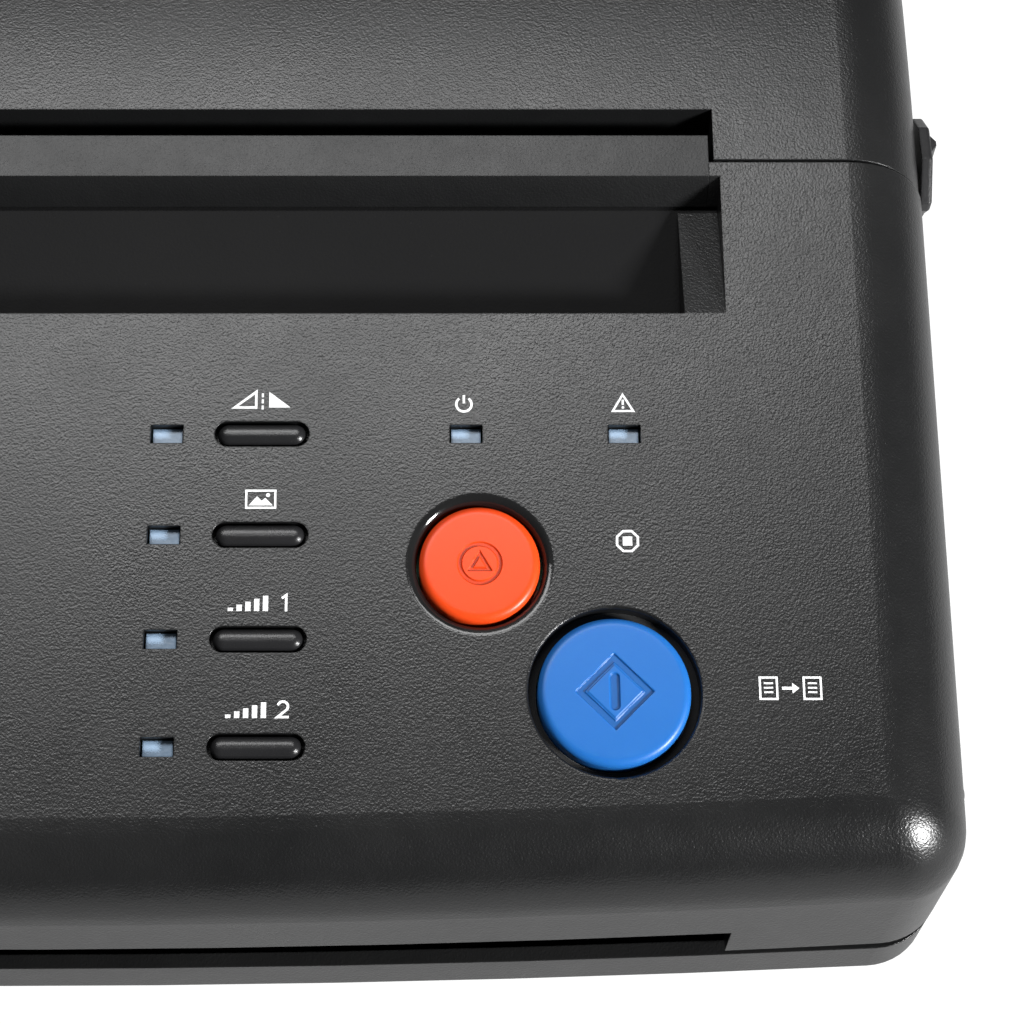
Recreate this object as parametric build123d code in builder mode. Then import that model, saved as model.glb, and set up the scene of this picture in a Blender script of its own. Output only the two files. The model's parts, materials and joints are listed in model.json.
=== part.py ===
from build123d import *
import os
from math import atan2, cos, degrees, hypot, pi, radians, sin, sqrt, tan

# Desktop thermal stencil copier. Millimetres, +X right, +Y to the rear, +Z up.
# The origin is on the table under the middle of the case.

# ---- case ---------------------------------------------------------------------
case_width = 291.2
case_depth = 200.0
corner_radius = 17.0  # rear corners
front_corner_radius = 10.5
front_bow = 4.2  # how far the middle of the front stands ahead of its corners
base_bow = 3.7
wall = 2.2
foot_height = 2.5
floor_thickness = 2.5
base_inset = 0.3  # the lower case stands back from the covers
base_edge_radius = 1.0
tub_floor_radius = 2.0
base_front_height = 12.0
base_rear_height = 29.0
front_gap = 2.0  # shadow gap between the lower case and the front cover
rear_gap = 1.0
cover_seam_gap = 0.4  # between the front cover and the rear cover
rear_cover_inset = 0.3
bend_radius = 13.5  # rounding of the covers' upper edges
clearance = 0.3  # between parts that move past each other
running_fit = 0.05  # radial, shaft in bore
standoff_radius = 3.0
pilot_radius = 1.2
foot_x = 118.0
foot_y = 78.0
foot_radius = 7.0
foot_stud = 2.0
foot_chamfer = 0.6
upstand_thickness = 1.6
upstand_foot = 10.8
upstand_rise = 2.5
upstand_front = 30.0  # behind the front cover's hinge
vent_slot = (24.0, 2.0)
vent_gap = 6.0
vent_pitch = 6.0
vent_grid = (3, 4)
side_stud_at = (-79.8, 32.0)  # a small stud on each side of the front cover, as (y, z)
side_stud_radius = 1.35
side_stud_rise = 0.7

# ---- control panel plane --------------------------------------------------------
panel_slope = 10.0
panel_y = -44.8  # a point of the panel on the middle line
panel_z = 54.0

# ---- openings in the covers -----------------------------------------------------
seam_y = 10.2
paper_slot_width = 225.2
entry_front_y = -14.2
ridge_front_y = 7.9
ridge_rear_y = 14.6
ridge_width = 222.0
ridge_face_lean = 2.3  # the ridge's front face leans this far forward at its foot
stencil_slot_gap = 4.4
stencil_lip_drop = 8.0  # how far the rear cover's lip hangs down behind the slot
notch_side_gap = 0.8
exit_slot_top = 22.3
tab_width = 6.1
tab_depth = 4.4
tab_run = 19.1
well_wall = 2.2
rear_slot_width = 220.0
rear_slot_low = 36.0
rear_slot_high = 49.0
rear_crown_radius = 330.0

# ---- document path ---------------------------------------------------------------
guide_thickness = 2.0
guide_apron = 14.0
guide_rear_gap = 1.2  # between the guide's apron and the ridge's rear face
front_swing = 8.5  # behind the front hinge, clear of the opened front wall's lower edge
entry_floor_y = -15.5
entry_floor_z = 52.1
entry_floor_slope = 15.0
path_slope = 23.0
path_front_y = -94.0
path_front_z = 14.9
path_bend_y = -30.0
guide_gap = 0.6  # cover edges stand this far off the guide
feed_y = -50.0
feed_radius = 6.0
exit_y = -75.0
exit_radius = 5.0
tyre_stand = 0.5  # the tyres rise this far above the guide
tyre_width = 14.0
tyre_pitch = 52.0
tyre_count = 4
small_shaft = 2.5
sensor_y = -63.0
sensor_width = 10.5
sensor_height = 9.0
sensor_length = 218.0
upper_guide_gap = 2.0
upper_guide_thickness = 1.2
upper_guide_front = -83.0
upper_guide_rear = -22.0
upper_guide_half = 110.0
upper_guide_end = 1.5  # thickness of its end plates
ear_thickness = 1.6
ear_width = 6.0
ear_rim = 2.2
pinch_shaft = 1.25
pinch_radius = 4.5
pinch_width = 10.0
window_gap = 1.0  # round the tyres

# ---- stencil path ------------------------------------------------------------------
platen_y = 44.0
platen_z = 40.0
platen_radius = 8.0
platen_length = 216.0
platen_shaft = 3.0
head_gap = 0.3
head_strip_height = 1.4
head_strip_width = 12.0
heatsink_height = 5.0
heatsink_front = 37.0
heatsink_rear = 62.0
heatsink_length = 214.0
head_travel = 1.2
head_post_x = 92.0
head_post_y = 56.5
head_post_radius = 1.5
spring_x = 45.0
spring_y = 48.0
spring_radius = 3.2
spring_wire = 0.5
spring_turns = 4
spring_cup_wall = 1.4
spring_height = 6.5
post_boss_wall = 2.0
post_grip = 4.0
post_head_radius = 2.8
post_head = 1.2
post_play = 0.6
sink_groove = 2.0
sink_groove_pitch = 5.0
sink_groove_first = 5.5
sink_groove_ends = 25.0
strip_bevel = 0.5
stencil_guide_drop = 0.8

# ---- covers' hinges -----------------------------------------------------------------
rear_pivot_y = 91.0
rear_pivot_z = 38.0
barrel_radius = 9.0
front_pivot_y = -88.5
front_pivot_z = 32.0
hinge_pin = 2.0
hinge_eye = 3.5
arm_thickness = 2.0
front_arm_x = 128.5
rear_arm_x = 128.0
lug_thickness = 3.0
lug_rise = 10.0
arm_reach = 13.0  # from a hinge's centre to its arm's post
arm_post = 9.0
arm_underside = 1.6  # the arm's underside is this far below the hinge's centre
arm_flange = 8.0
arm_screw_inset = 4.5
pin_head = 1.0

# ---- cover latch --------------------------------------------------------------------
latch_y = 24.0
latch_z = 20.0
latch_shaft_radius = 2.5
latch_angle = 18.0
hook_x = 132.0
hook_thickness = 3.0
hook_arm_half = 2.5
hook_reach = 24.5
nose_length = 4.5
nose_height = 3.5
latch_pin_radius = 2.0
latch_pin_gap = 0.7  # between a pin and its hook when this is swung in
lever_thickness = 1.8
lever_top_z = 54.0
lever_pad_front = 12.2
lever_pad_rear = 28.0
lever_pad_height = 9.0
lever_ridge = 1.1
lever_gap = 0.7
lever_neck = 3.2
lever_hub = 5.5
lever_edge = 0.6
hook_hub_wall = 2.2
hook_tip = 1.2
pin_boss_wall = 2.0
pin_boss_length = 4.0

# ---- chassis --------------------------------------------------------------------------
plate_x = 118.0
plate_thickness = 1.5
plate_front_y = -79.5
plate_front_z = 22.0
plate_top_z = 50.0
plate_top = (-12.0, 56.0)  # its level top runs between these depths
plate_rear_gap = 2.5  # clear of the rear cover's swing
plate_slot_at = (-8.0, 17.0)
plate_slot = (24.0, 10.0)
flange_width = 9.0
flange_runs = ((-47.0, -31.0), (40.0, 60.0))
flange_holes = (-39.0, 50.0)
flange_screw_inset = 5.3
bush_radius = 4.0
bush_rim = 1.0
case_screw = 1.4
board_screw = 1.1
gear_inner_x = -121.0
gear_width = 5.0
module = 1.0
platen_teeth = 24
stencil_idler_teeth = 20
pinion_teeth = 12
feed_teeth = 20
exit_teeth = 12
document_idler_teeth = 12
backlash = 0.32
addendum = 0.85
dedendum = 1.15
flank_slope = 0.36
stud_radius = 1.5
stud_head = 1.0
stud_shoulder = 1.2
pinion_shaft = 1.0
pinion_grip = 6.0
shaft_left_end = 1.5  # beyond the gears
shaft_right_end = 2.0  # beyond the right plate
motor_length = 20.0
motor_edge = 1.0
stencil_motor_radius = 11.0
document_motor_radius = 9.0

# ---- controls, measured on the panel plane as (x, slope distance) ------------------------
key_rows = (12.0, -3.45, -19.0, -34.6)
key_x = 44.1
key_hole = (13.9, 3.9)
key_size = (12.9, 3.3)
key_names = ("mirror_key", "photo_key", "depth_one_key", "depth_two_key")
key_travel = 0.5
lamp_x = 30.2
lamp_window = (4.8, 2.8)
lamp_lens = (4.3, 2.4)
lamp_depth = 1.4
status_lamps = ((73.9, 12.0), (97.0, 12.0))
stop_at = (75.7, -7.8)
stop_radius = 8.7
stop_hole_radius = 9.15
stop_dish = 1.45
copy_at = (94.6, -26.65)
copy_radius = 10.85
copy_hole_radius = 12.25
cap_rise = 0.3
cap_skirt = 5.6
cap_wall = 1.6
cap_travel = 0.8
sleeve_depth = 4.7
sleeve_wall = 1.5
lug_reach = 1.2
board_depth = 7.5
board_thickness = 1.6
board_span = (20.0, 108.0)
board_run = (-41.5, 16.0)
panel_bosses = ((23.5, 12.5), (23.5, -38.0), (105.0, 12.5), (66.0, -38.0))
boss_radius = 2.6
switch_size = 6.0
switch_height = 3.2
stem_radius = 1.6
stem_depth = 2.0
stem_rest = 0.4  # the stem's end below the top of the switch
cap_edge = 1.0
cap_lug_width = 4.0
key_flange = 1.2
key_flange_thickness = 1.0
key_edge = 0.25
hole_edge = 0.4
panel_screw_head = (2.0, 1.2)

# ---- electrics in the lower case -----------------------------------------------------------
standoff = 4.0
main_board_at = (42.0, -8.0)
main_board_size = (128.0, 42.0)
power_board_at = (-58.0, 54.0)
power_board_size = (56.0, 38.0)
board_hole_inset = 4.0
board_corner = 1.5
# components on the boards: (x, y) from the board's middle, width, depth, height
main_chips = ((-10.0, 0.0, 20.0, 20.0, 1.6), (25.0, 6.0, 16.0, 9.0, 1.6), (25.0, -10.0, 16.0, 9.0, 1.6))
main_sockets = tuple((x, -16.0, 16.0, 5.0, 5.5) for x in (-30.0, 0.0, 30.0))
main_cans = ((-45.0, 0.0, 3.2, 7.0), (-35.0, 0.0, 3.2, 7.0))
power_blocks = ((-4.0, 0.0, 20.0, 17.0, 15.0), (-20.0, -4.0, 8.0, 13.0, 9.0))
power_cans = ((15.0, 3.0, 6.5, 13.0),)
inlet_x = -74.0
inlet_z = 15.8
inlet_size = (28.0, 20.0)
inlet_depth = 17.0
inlet_lip = 2.0
inlet_floor = 1.4
blade_size = (2.0, 4.0)
blade_length = 11.0
blade_places = ((-7.0, 1.2), (7.0, 1.2), (0.0, 4.2))
fitting_rim = 1.0  # rims of the inlet and switch stand this proud of the rear wall
switch_x = -40.0
rocker_size = (10.0, 15.0)
switch_frame = (15.0, 21.0)
switch_depth = 14.0
switch_lip = 1.5
switch_well = 9.0
rocker_depth = 2.4
rocker_trunnion = 1.0
rocker_tilt = 9.0

strip_bottom = platen_z + platen_radius + head_gap
sink_bottom = strip_bottom + head_strip_height
sink_top = sink_bottom + heatsink_height
post_seat = sink_top + head_travel + post_play
spring_seat = sink_top + spring_height
spring_places = [(side * spring_x, spring_y) for side in (-1, 1)]
post_places = [(side * head_post_x, head_post_y) for side in (-1, 1)]
foot_places = [(sx * foot_x, sy * foot_y) for sx in (-1, 1) for sy in (-1, 1)]
plate_outer = plate_x + plate_thickness / 2
plate_inner = plate_x - plate_thickness / 2
plate_rear_y = rear_pivot_y - barrel_radius - plate_rear_gap
flange_hole_x = plate_x + flange_screw_inset
guide_rear_y = ridge_rear_y - guide_rear_gap
pinch_height = tyre_stand + clearance + pinch_radius
tyre_places = [tyre_pitch * (n - (tyre_count - 1) / 2) for n in range(tyre_count)]
gear_outer_x = gear_inner_x - gear_width
shaft_left = gear_outer_x - shaft_left_end
shaft_right = plate_outer + shaft_right_end
switch_top = -(board_depth - switch_height)
switch_places = [(key_x, row) for row in key_rows] + [stop_at, copy_at]
lamp_places = [(lamp_x, row) for row in key_rows] + list(status_lamps)

panel = Plane(
    origin=(0, panel_y, panel_z),
    x_dir=(1, 0, 0),
    z_dir=(0, -sin(radians(panel_slope)), cos(radians(panel_slope))),
)
notch_y = ridge_rear_y + stencil_slot_gap
seam_radius = seam_y - front_pivot_y
floor_z = foot_height + floor_thickness
half_width = case_width / 2
half_depth = case_depth / 2
half_slot = paper_slot_width / 2
cover_bottom = base_front_height + front_gap
rear_cover_bottom = base_rear_height + rear_gap
tall = 110.0  # taller than the machine, for cuts that run out of it
rocker_axis = (half_depth - base_inset - rocker_depth, inlet_z)


def save(part, name):
    """Label one finished piece and write it to its own file."""
    part.label = name
    export_step(part, f"parts/{name}.step")


def panel_height(y):
    """Height of the panel plane at a depth y."""
    return panel_z + (y - panel_y) * tan(radians(panel_slope))


def guide_height(y):
    """Height of the document guide's paper side at a depth y."""
    if y >= entry_floor_y:
        return entry_floor_z + (y - entry_floor_y) * tan(radians(entry_floor_slope))
    bend_z = path_front_z + (path_bend_y - path_front_y) * tan(radians(path_slope))
    if y >= path_bend_y:
        share = (y - path_bend_y) / (entry_floor_y - path_bend_y)
        return bend_z + share * (entry_floor_z - bend_z)
    return path_front_z + (y - path_front_y) * tan(radians(path_slope))


def path_point(y, height):
    """The point at a height square above the document path, as (y, z)."""
    slope = radians(path_slope)
    return (y - height * sin(slope), guide_height(y) + height * cos(slope))


def turned(point, centre, angle):
    """A (y, z) point turned about a centre, front side up for a positive angle."""
    dy = point[0] - centre[0]
    dz = point[1] - centre[1]
    c = cos(radians(angle))
    s = sin(radians(angle))
    return (centre[0] + dy * c + dz * s, centre[1] - dy * s + dz * c)


# ---- case forms -------------------------------------------------------------------------


def case_outline(inset, bow):
    """Plan outline of the case: bowed front, straight sides and round rear corners."""
    half = half_width - inset
    rear = half_depth - inset
    corner_y = -half_depth + bow + inset
    with BuildSketch() as outline:
        with BuildLine():
            ThreePointArc((-half, corner_y), (0, corner_y - bow), (half, corner_y))
            Polyline((half, corner_y), (half, rear), (-half, rear), (-half, corner_y))
        make_face()
        fillet(outline.vertices().group_by(Axis.Y)[-1], radius=corner_radius - inset)
    return outline.sketch


def front_corners(form):
    """The edges that run up and over the two front corners of a case form."""
    reach = -half_depth + front_bow + bend_radius
    return [
        edge
        for edge in form.edges()
        if edge.center().Y < reach and abs(edge.center().X) > half_width - bend_radius - wall
    ]


def front_form(inset, bottom):
    """Solid form under the front cover's skin, before its rear end is cut."""
    with BuildPart() as form:
        with BuildSketch(Plane.XY.offset(bottom)):
            add(case_outline(inset, front_bow))
        extrude(amount=tall)
        split(bisect_by=panel.offset(-inset), keep=Keep.BOTTOM)
        fillet(form.faces().sort_by(Axis.Z)[-1].edges(), radius=bend_radius - inset)
        fillet(front_corners(form), radius=front_corner_radius - inset)
    return form.part


def rear_form(inset, bottom):
    """Solid form under the rear cover's skin: crowned top and rolled lower rear edge."""
    half = half_width - rear_cover_inset - inset
    rear = half_depth - inset
    front = -half_depth / 4
    crown_y = seam_y + rear_crown_radius * sin(radians(panel_slope))
    crown_z = panel_height(seam_y) - rear_crown_radius * cos(radians(panel_slope))
    with BuildPart() as form:
        with BuildSketch(Plane.XY.offset(bottom)) as plan:
            with BuildLine():
                Polyline((-half, front), (half, front), (half, rear), (-half, rear), close=True)
            make_face()
            fillet(plan.vertices().group_by(Axis.Y)[-1], radius=corner_radius - inset)
        extrude(amount=tall)
        with BuildSketch(Plane.YZ):
            with Locations((crown_y, crown_z)):
                Circle(rear_crown_radius - inset)
        extrude(amount=half_width, both=True, mode=Mode.INTERSECT)
        top = form.faces().sort_by(Axis.Z)[-1]
        fillet(top.edges().sort_by(Axis.Y)[1:], radius=bend_radius - inset)
        with BuildSketch(Plane.YZ) as corner:
            with Locations((rear_pivot_y, rear_pivot_z)):
                Rectangle(tall, tall, align=(Align.MIN, Align.MAX))
                Circle(barrel_radius - inset, mode=Mode.SUBTRACT)
        extrude(amount=half_width, both=True, mode=Mode.SUBTRACT)
    return form.part


def bar_x(points, x_from, x_to):
    """A prism along X from a closed (y, z) outline."""
    with BuildPart() as bar:
        with BuildSketch(Plane.YZ.offset(x_from)):
            with BuildLine():
                Polyline(*points, close=True)
            make_face()
        extrude(amount=x_to - x_from)
    return bar.part


def block(x_span, y_span, z_span):
    """A box given by its spans along X, Y and Z."""
    with BuildPart() as made:
        with BuildSketch(Plane.XY.offset(z_span[0])):
            with Locations(((x_span[0] + x_span[1]) / 2, (y_span[0] + y_span[1]) / 2)):
                Rectangle(x_span[1] - x_span[0], y_span[1] - y_span[0])
        extrude(amount=z_span[1] - z_span[0])
    return made.part


# ---- lower case ----------------------------------------------------------------------------


def board_holes(at, size):
    """The four fixing points of a circuit board."""
    step_x = size[0] - 2 * board_hole_inset
    step_y = size[1] - 2 * board_hole_inset
    return [
        (at[0] + sx * step_x / 2, at[1] + sy * step_y / 2) for sx in (-1, 1) for sy in (-1, 1)
    ]


def tub_inside(inset):
    """The space inside the lower case, with its rounded lower edges."""
    with BuildPart() as space:
        with BuildSketch(Plane.XY.offset(floor_z)):
            add(case_outline(inset, base_bow))
        extrude(amount=tall)
        fillet(front_corners(space), radius=front_corner_radius - inset)
        fillet(space.faces().sort_by(Axis.Z)[0].edges(), radius=tub_floor_radius)
    return space.part


def make_base():
    """Lower case: a tub, low at the front and high at the rear, with rounded lower edges."""
    inner = base_inset + wall
    inside = tub_inside(inner)
    lip_half = rear_slot_width / 2 - 1
    lip_rear = half_depth - base_inset
    lip = block((-lip_half, lip_half), (lip_rear - wall, lip_rear), (base_rear_height - 1, rear_slot_low))
    upstand_run = (front_pivot_y + upstand_front, seam_y - 2)
    upstand_z = (upstand_foot, cover_bottom + upstand_rise)
    upstand_x = (half_width - inner - upstand_thickness, half_width - inner)
    upstand = block(upstand_x, upstand_run, upstand_z)
    with BuildPart() as tub:
        with BuildSketch(Plane.XY.offset(foot_height)):
            add(case_outline(base_inset, base_bow))
        extrude(amount=base_rear_height - foot_height)
        fillet(front_corners(tub), radius=front_corner_radius - base_inset)
        fillet(tub.faces().sort_by(Axis.Z)[0].edges(), radius=base_edge_radius)
        add(inside, mode=Mode.SUBTRACT)
        # low front: the step up to the rear is struck about the front cover's hinge
        with BuildSketch(Plane.YZ):
            with Locations((front_pivot_y, front_pivot_z)):
                Circle(seam_radius + cover_seam_gap)
            with Locations((0, base_front_height)):
                Rectangle(4 * tall, 4 * tall, align=(Align.CENTER, Align.MAX), mode=Mode.SUBTRACT)
        extrude(amount=half_width, both=True, mode=Mode.SUBTRACT)
        # raised lip under the stencil entry, and upstands that close the shadow gap at the sides
        add(lip)
        add(upstand)
        add(mirror(upstand, about=Plane.YZ))
        # board standoffs
        with BuildSketch(Plane.XY.offset(floor_z)):
            places = board_holes(main_board_at, main_board_size)
            with Locations(*places, *board_holes(power_board_at, power_board_size)):
                Circle(standoff_radius)
                Circle(pilot_radius, mode=Mode.SUBTRACT)
        extrude(amount=standoff)
        # foot sockets and floor vents
        with BuildSketch(Plane.XY):
            with Locations(*foot_places):
                Circle(foot_stud)
            with Locations(main_board_at):
                with GridLocations(vent_slot[0] + vent_gap, vent_pitch, *vent_grid):
                    SlotOverall(*vent_slot)
        extrude(amount=floor_z, mode=Mode.SUBTRACT)
        # inlet and switch cut-outs in the rear wall
        with BuildSketch(Plane.XZ.offset(-half_depth - 1)):
            with Locations((inlet_x, inlet_z)):
                Rectangle(inlet_size[0] - 2 * inlet_lip, inlet_size[1] - 2 * inlet_lip)
            with Locations((switch_x, inlet_z)):
                Rectangle(switch_frame[0] - 2 * switch_lip, switch_frame[1] - 2 * switch_lip)
        extrude(amount=wall + 3, mode=Mode.SUBTRACT)
        # latch shaft bearings in the side walls
        with BuildSketch(Plane.YZ.offset(-half_width)):
            with Locations((latch_y, latch_z)):
                Circle(latch_shaft_radius + running_fit)
        extrude(amount=case_width, mode=Mode.SUBTRACT)
    save(tub.part, "base_tub")


def make_feet():
    """Rubber feet with studs pressed into the floor."""
    with BuildPart() as feet:
        with BuildSketch(Plane.XY):
            with Locations(*foot_places):
                Circle(foot_radius)
        extrude(amount=foot_height)
        chamfer(feet.edges().group_by(Axis.Z)[0], length=foot_chamfer)
        with BuildSketch(Plane.XY.offset(foot_height)):
            with Locations(*foot_places):
                Circle(foot_stud)
        extrude(amount=floor_thickness)
    save(feet.part, "rubber_feet")


# ---- covers -----------------------------------------------------------------------------------


def front_well():
    """Material kept under the cover's skin round the document entry, for its end walls."""
    top = panel_height(ridge_rear_y) + 5
    outline = [
        (entry_front_y - 1, guide_height(entry_front_y - 1) + guide_gap),
        (ridge_rear_y, guide_height(ridge_rear_y) + guide_gap),
        (ridge_rear_y, top),
        (entry_front_y - 1, top),
    ]
    return bar_x(outline, -half_slot - well_wall, half_slot + well_wall)


def ridge_piece(x_from, x_to):
    """A length of the bar between the two slots."""
    low_y = ridge_front_y - ridge_face_lean
    outline = [
        (low_y, guide_height(low_y) + guide_gap),
        (ridge_front_y, panel_height(ridge_front_y)),
        (ridge_rear_y, panel_height(ridge_rear_y)),
        (ridge_rear_y, guide_height(ridge_rear_y) + guide_gap),
    ]
    return bar_x(outline, x_from, x_to)


def ridge_cheek():
    """The cheek on the cover's arm that an end of the ridge bar butts against."""
    with BuildPart() as cheek:
        add(ridge_piece(ridge_width / 2, half_slot + 0.5))
        add(block((0, half_width), (seam_y, half_depth), (0, tall)), mode=Mode.SUBTRACT)
    return cheek.part


def entry_tab():
    """A side tab that keeps the sheet off the end of the entry, sinking to the rear."""
    slope = radians(panel_slope)
    rear_y = entry_front_y + tab_run * cos(slope)
    outline = [
        (entry_front_y - 0.5, panel_height(entry_front_y - 0.5)),
        (entry_front_y, panel_height(entry_front_y)),
        (rear_y, panel_height(rear_y) - tab_depth),
        (rear_y, guide_height(rear_y) + guide_gap),
        (entry_front_y - 0.5, guide_height(entry_front_y - 0.5) + guide_gap),
    ]
    return bar_x(outline, half_slot - tab_width, half_slot + 0.5)


def front_inside():
    """The space under the front cover's skin, less the material round the document entry."""
    with BuildPart() as space:
        add(front_form(wall, cover_bottom - 5))
        add(front_well(), mode=Mode.SUBTRACT)
    return space.part


def front_lugs(lug_x):
    """Hinge lugs behind the front wall, trimmed to the cover's form."""
    lug_front = front_pivot_y - hinge_eye - 2 * wall
    outline = [
        (lug_front, front_pivot_z - hinge_eye),
        (front_pivot_y + hinge_eye, front_pivot_z - hinge_eye),
        (front_pivot_y + hinge_eye, front_pivot_z + hinge_eye),
        (lug_front, front_pivot_z + hinge_eye),
    ]
    with BuildPart() as lugs:
        add(bar_x(outline, lug_x, lug_x + lug_thickness))
        mirror(about=Plane.YZ)
        add(front_form(wall / 2, 0), mode=Mode.INTERSECT)
    return lugs.part


def side_stud():
    """A small round-ended stud on the right side wall."""
    with BuildPart() as stud:
        with BuildSketch(Plane.YZ.offset(half_width - wall / 2)):
            with Locations(side_stud_at):
                Circle(side_stud_radius)
        extrude(amount=wall / 2 + side_stud_rise)
        chamfer(stud.faces().sort_by(Axis.X)[-1].edges(), length=side_stud_rise / 2)
    return stud.part


def make_front_cover():
    """Front cover: control panel, document entry, rounded front and document exit."""
    lug_x = front_arm_x + arm_thickness + clearance
    inside = front_inside()
    lugs = front_lugs(lug_x)
    entry = block((-half_slot, half_slot), (entry_front_y, half_depth), (0, tall))
    tab = entry_tab()
    cheek = ridge_cheek()
    with BuildPart() as cover:
        add(front_form(0, cover_bottom))
        add(inside, mode=Mode.SUBTRACT)
        # cut the rear end at the seam
        add(block((-half_width, half_width), (seam_y, half_depth), (0, tall)), mode=Mode.SUBTRACT)
        # below the hinge's height the rear edge is struck about the hinge
        with BuildSketch(Plane.YZ):
            with Locations((front_pivot_y, front_pivot_z)):
                Rectangle(2 * tall, tall, align=(Align.MIN, Align.MAX))
                Circle(seam_radius, mode=Mode.SUBTRACT)
        extrude(amount=half_width, both=True, mode=Mode.SUBTRACT)
        # the document entry, an arm of the cover at each side of it, its side tabs and cheeks
        add(entry, mode=Mode.SUBTRACT)
        add(tab)
        add(mirror(tab, about=Plane.YZ))
        add(cheek)
        add(mirror(cheek, about=Plane.YZ))
        # document exit in the front wall
        add(
            block((-half_slot, half_slot), (-half_depth - 5, -half_depth + 12), (0, exit_slot_top)),
            mode=Mode.SUBTRACT,
        )
        # guides round the caps and bosses for the panel board
        with BuildSketch(panel.offset(-wall / 2)):
            with Locations(stop_at):
                Circle(stop_hole_radius + sleeve_wall)
            with Locations(copy_at):
                Circle(copy_hole_radius + sleeve_wall)
        extrude(amount=-(sleeve_depth - wall / 2))
        with BuildSketch(panel.offset(-wall / 2)):
            with Locations(*panel_bosses):
                Circle(boss_radius)
        extrude(amount=-(board_depth - wall / 2))
        with BuildSketch(panel.offset(1)):
            with Locations(stop_at):
                Circle(stop_hole_radius)
            with Locations(copy_at):
                Circle(copy_hole_radius)
            with Locations(*[(key_x, row) for row in key_rows]):
                SlotOverall(*key_hole)
            with Locations(*[(lamp_x, row) for row in key_rows], *status_lamps):
                Rectangle(*lamp_window)
        extrude(amount=-(board_depth + 1), mode=Mode.SUBTRACT)
        rims = cover.edges().filter_by(GeomType.CIRCLE).filter_by(
            lambda e: abs(panel.to_local_coords(e.center()).Z) < 0.01
        )
        fillet(rims.filter_by(lambda e: abs(e.radius - stop_hole_radius) < 0.01), radius=stop_dish)
        fillet(rims.filter_by(lambda e: abs(e.radius - copy_hole_radius) < 0.01), radius=hole_edge)
        # hinge lugs behind the front wall, and the studs on the side walls
        add(lugs)
        add(side_stud())
        add(mirror(side_stud(), about=Plane.YZ))
        with BuildSketch(Plane.YZ.offset(-lug_x - lug_thickness)):
            with Locations((front_pivot_y, front_pivot_z)):
                Circle(hinge_pin)
        extrude(amount=2 * (lug_x + lug_thickness), mode=Mode.SUBTRACT)
    save(cover.part, "front_cover")
    save(ridge_piece(-ridge_width / 2, ridge_width / 2), "ridge_bar")


def latch_pin_place():
    """Where the rear cover's latch pins sit, under the hooks' noses when these are swung in."""
    hook_frame = (
        latch_y + hook_arm_half + latch_pin_gap + latch_pin_radius,
        latch_z + hook_reach - latch_pin_gap - latch_pin_radius,
    )
    return turned(hook_frame, (latch_y, latch_z), latch_angle)


def rear_inside(step, lip_half):
    """The space under the rear cover's skin, less the lip round the stencil exit."""
    lip_low = panel_height(notch_y) - stencil_lip_drop
    with BuildPart() as space:
        add(rear_form(wall, rear_cover_bottom - 5))
        lip = block((-lip_half, lip_half), (step, notch_y + well_wall), (lip_low, tall))
        add(lip, mode=Mode.SUBTRACT)
    return space.part


def make_rear_cover():
    """Rear cover: crowned lid with the stencil slots, head bosses and hinge lugs."""
    inner_half = half_width - rear_cover_inset - wall
    step = seam_y + cover_seam_gap
    notch_half = ridge_width / 2 + notch_side_gap
    inside = rear_inside(step, notch_half + well_wall)
    ahead = block((-half_width, half_width), (-half_depth, step), (0, tall))
    notch = block((-notch_half, notch_half), (0, notch_y), (0, tall))
    slot_half = rear_slot_width / 2
    entry = block((-slot_half, slot_half), (rear_pivot_y - 6, tall), (0, rear_slot_high))
    lug_x = rear_arm_x + arm_thickness + clearance
    lug_low = rear_pivot_z - hinge_eye + 0.5
    lug_rear = half_depth - wall + 0.5
    lug_outline = [
        (rear_pivot_y - hinge_eye, lug_low),
        (rear_pivot_y + hinge_eye, lug_low),
        (lug_rear, rear_pivot_z),
        (lug_rear, rear_pivot_z + lug_rise),
        (rear_pivot_y - hinge_eye, rear_pivot_z + hinge_eye + 0.5),
    ]
    lug = bar_x(lug_outline, lug_x, lug_x + lug_thickness)
    with BuildPart() as cover:
        add(rear_form(0, rear_cover_bottom))
        add(inside, mode=Mode.SUBTRACT)
        add(ahead, mode=Mode.SUBTRACT)
        # stencil exit at the front edge, stencil entry in the rear wall
        add(notch, mode=Mode.SUBTRACT)
        add(entry, mode=Mode.SUBTRACT)
        # bosses for the head posts, and cups over the head springs
        with BuildSketch(Plane.XY.offset(post_seat)):
            with Locations(*post_places):
                Circle(head_post_radius + post_boss_wall)
        extrude(until=Until.NEXT)
        with BuildSketch(Plane.XY.offset(spring_seat)):
            with Locations(*spring_places):
                Circle(spring_radius + spring_cup_wall)
        extrude(until=Until.NEXT)
        with BuildSketch(Plane.XY.offset(post_seat)):
            with Locations(*post_places):
                Circle(head_post_radius)
        extrude(amount=post_grip, mode=Mode.SUBTRACT)
        # hinge lugs beside the arms
        add(lug)
        add(mirror(lug, about=Plane.YZ))
        with BuildSketch(Plane.YZ.offset(-lug_x - lug_thickness)):
            with Locations((rear_pivot_y, rear_pivot_z)):
                Circle(hinge_pin)
        extrude(amount=2 * (lug_x + lug_thickness), mode=Mode.SUBTRACT)
        # bosses on the side walls for the latch pins
        for side in (-1, 1):
            with BuildSketch(Plane.YZ.offset(side * (inner_half + 0.5))):
                with Locations(latch_pin_place()):
                    Circle(latch_pin_radius + pin_boss_wall)
                    Circle(latch_pin_radius, mode=Mode.SUBTRACT)
            extrude(amount=-side * (pin_boss_length + 0.5))
    save(cover.part, "rear_cover")


# ---- thermal head -------------------------------------------------------------------------------


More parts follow.
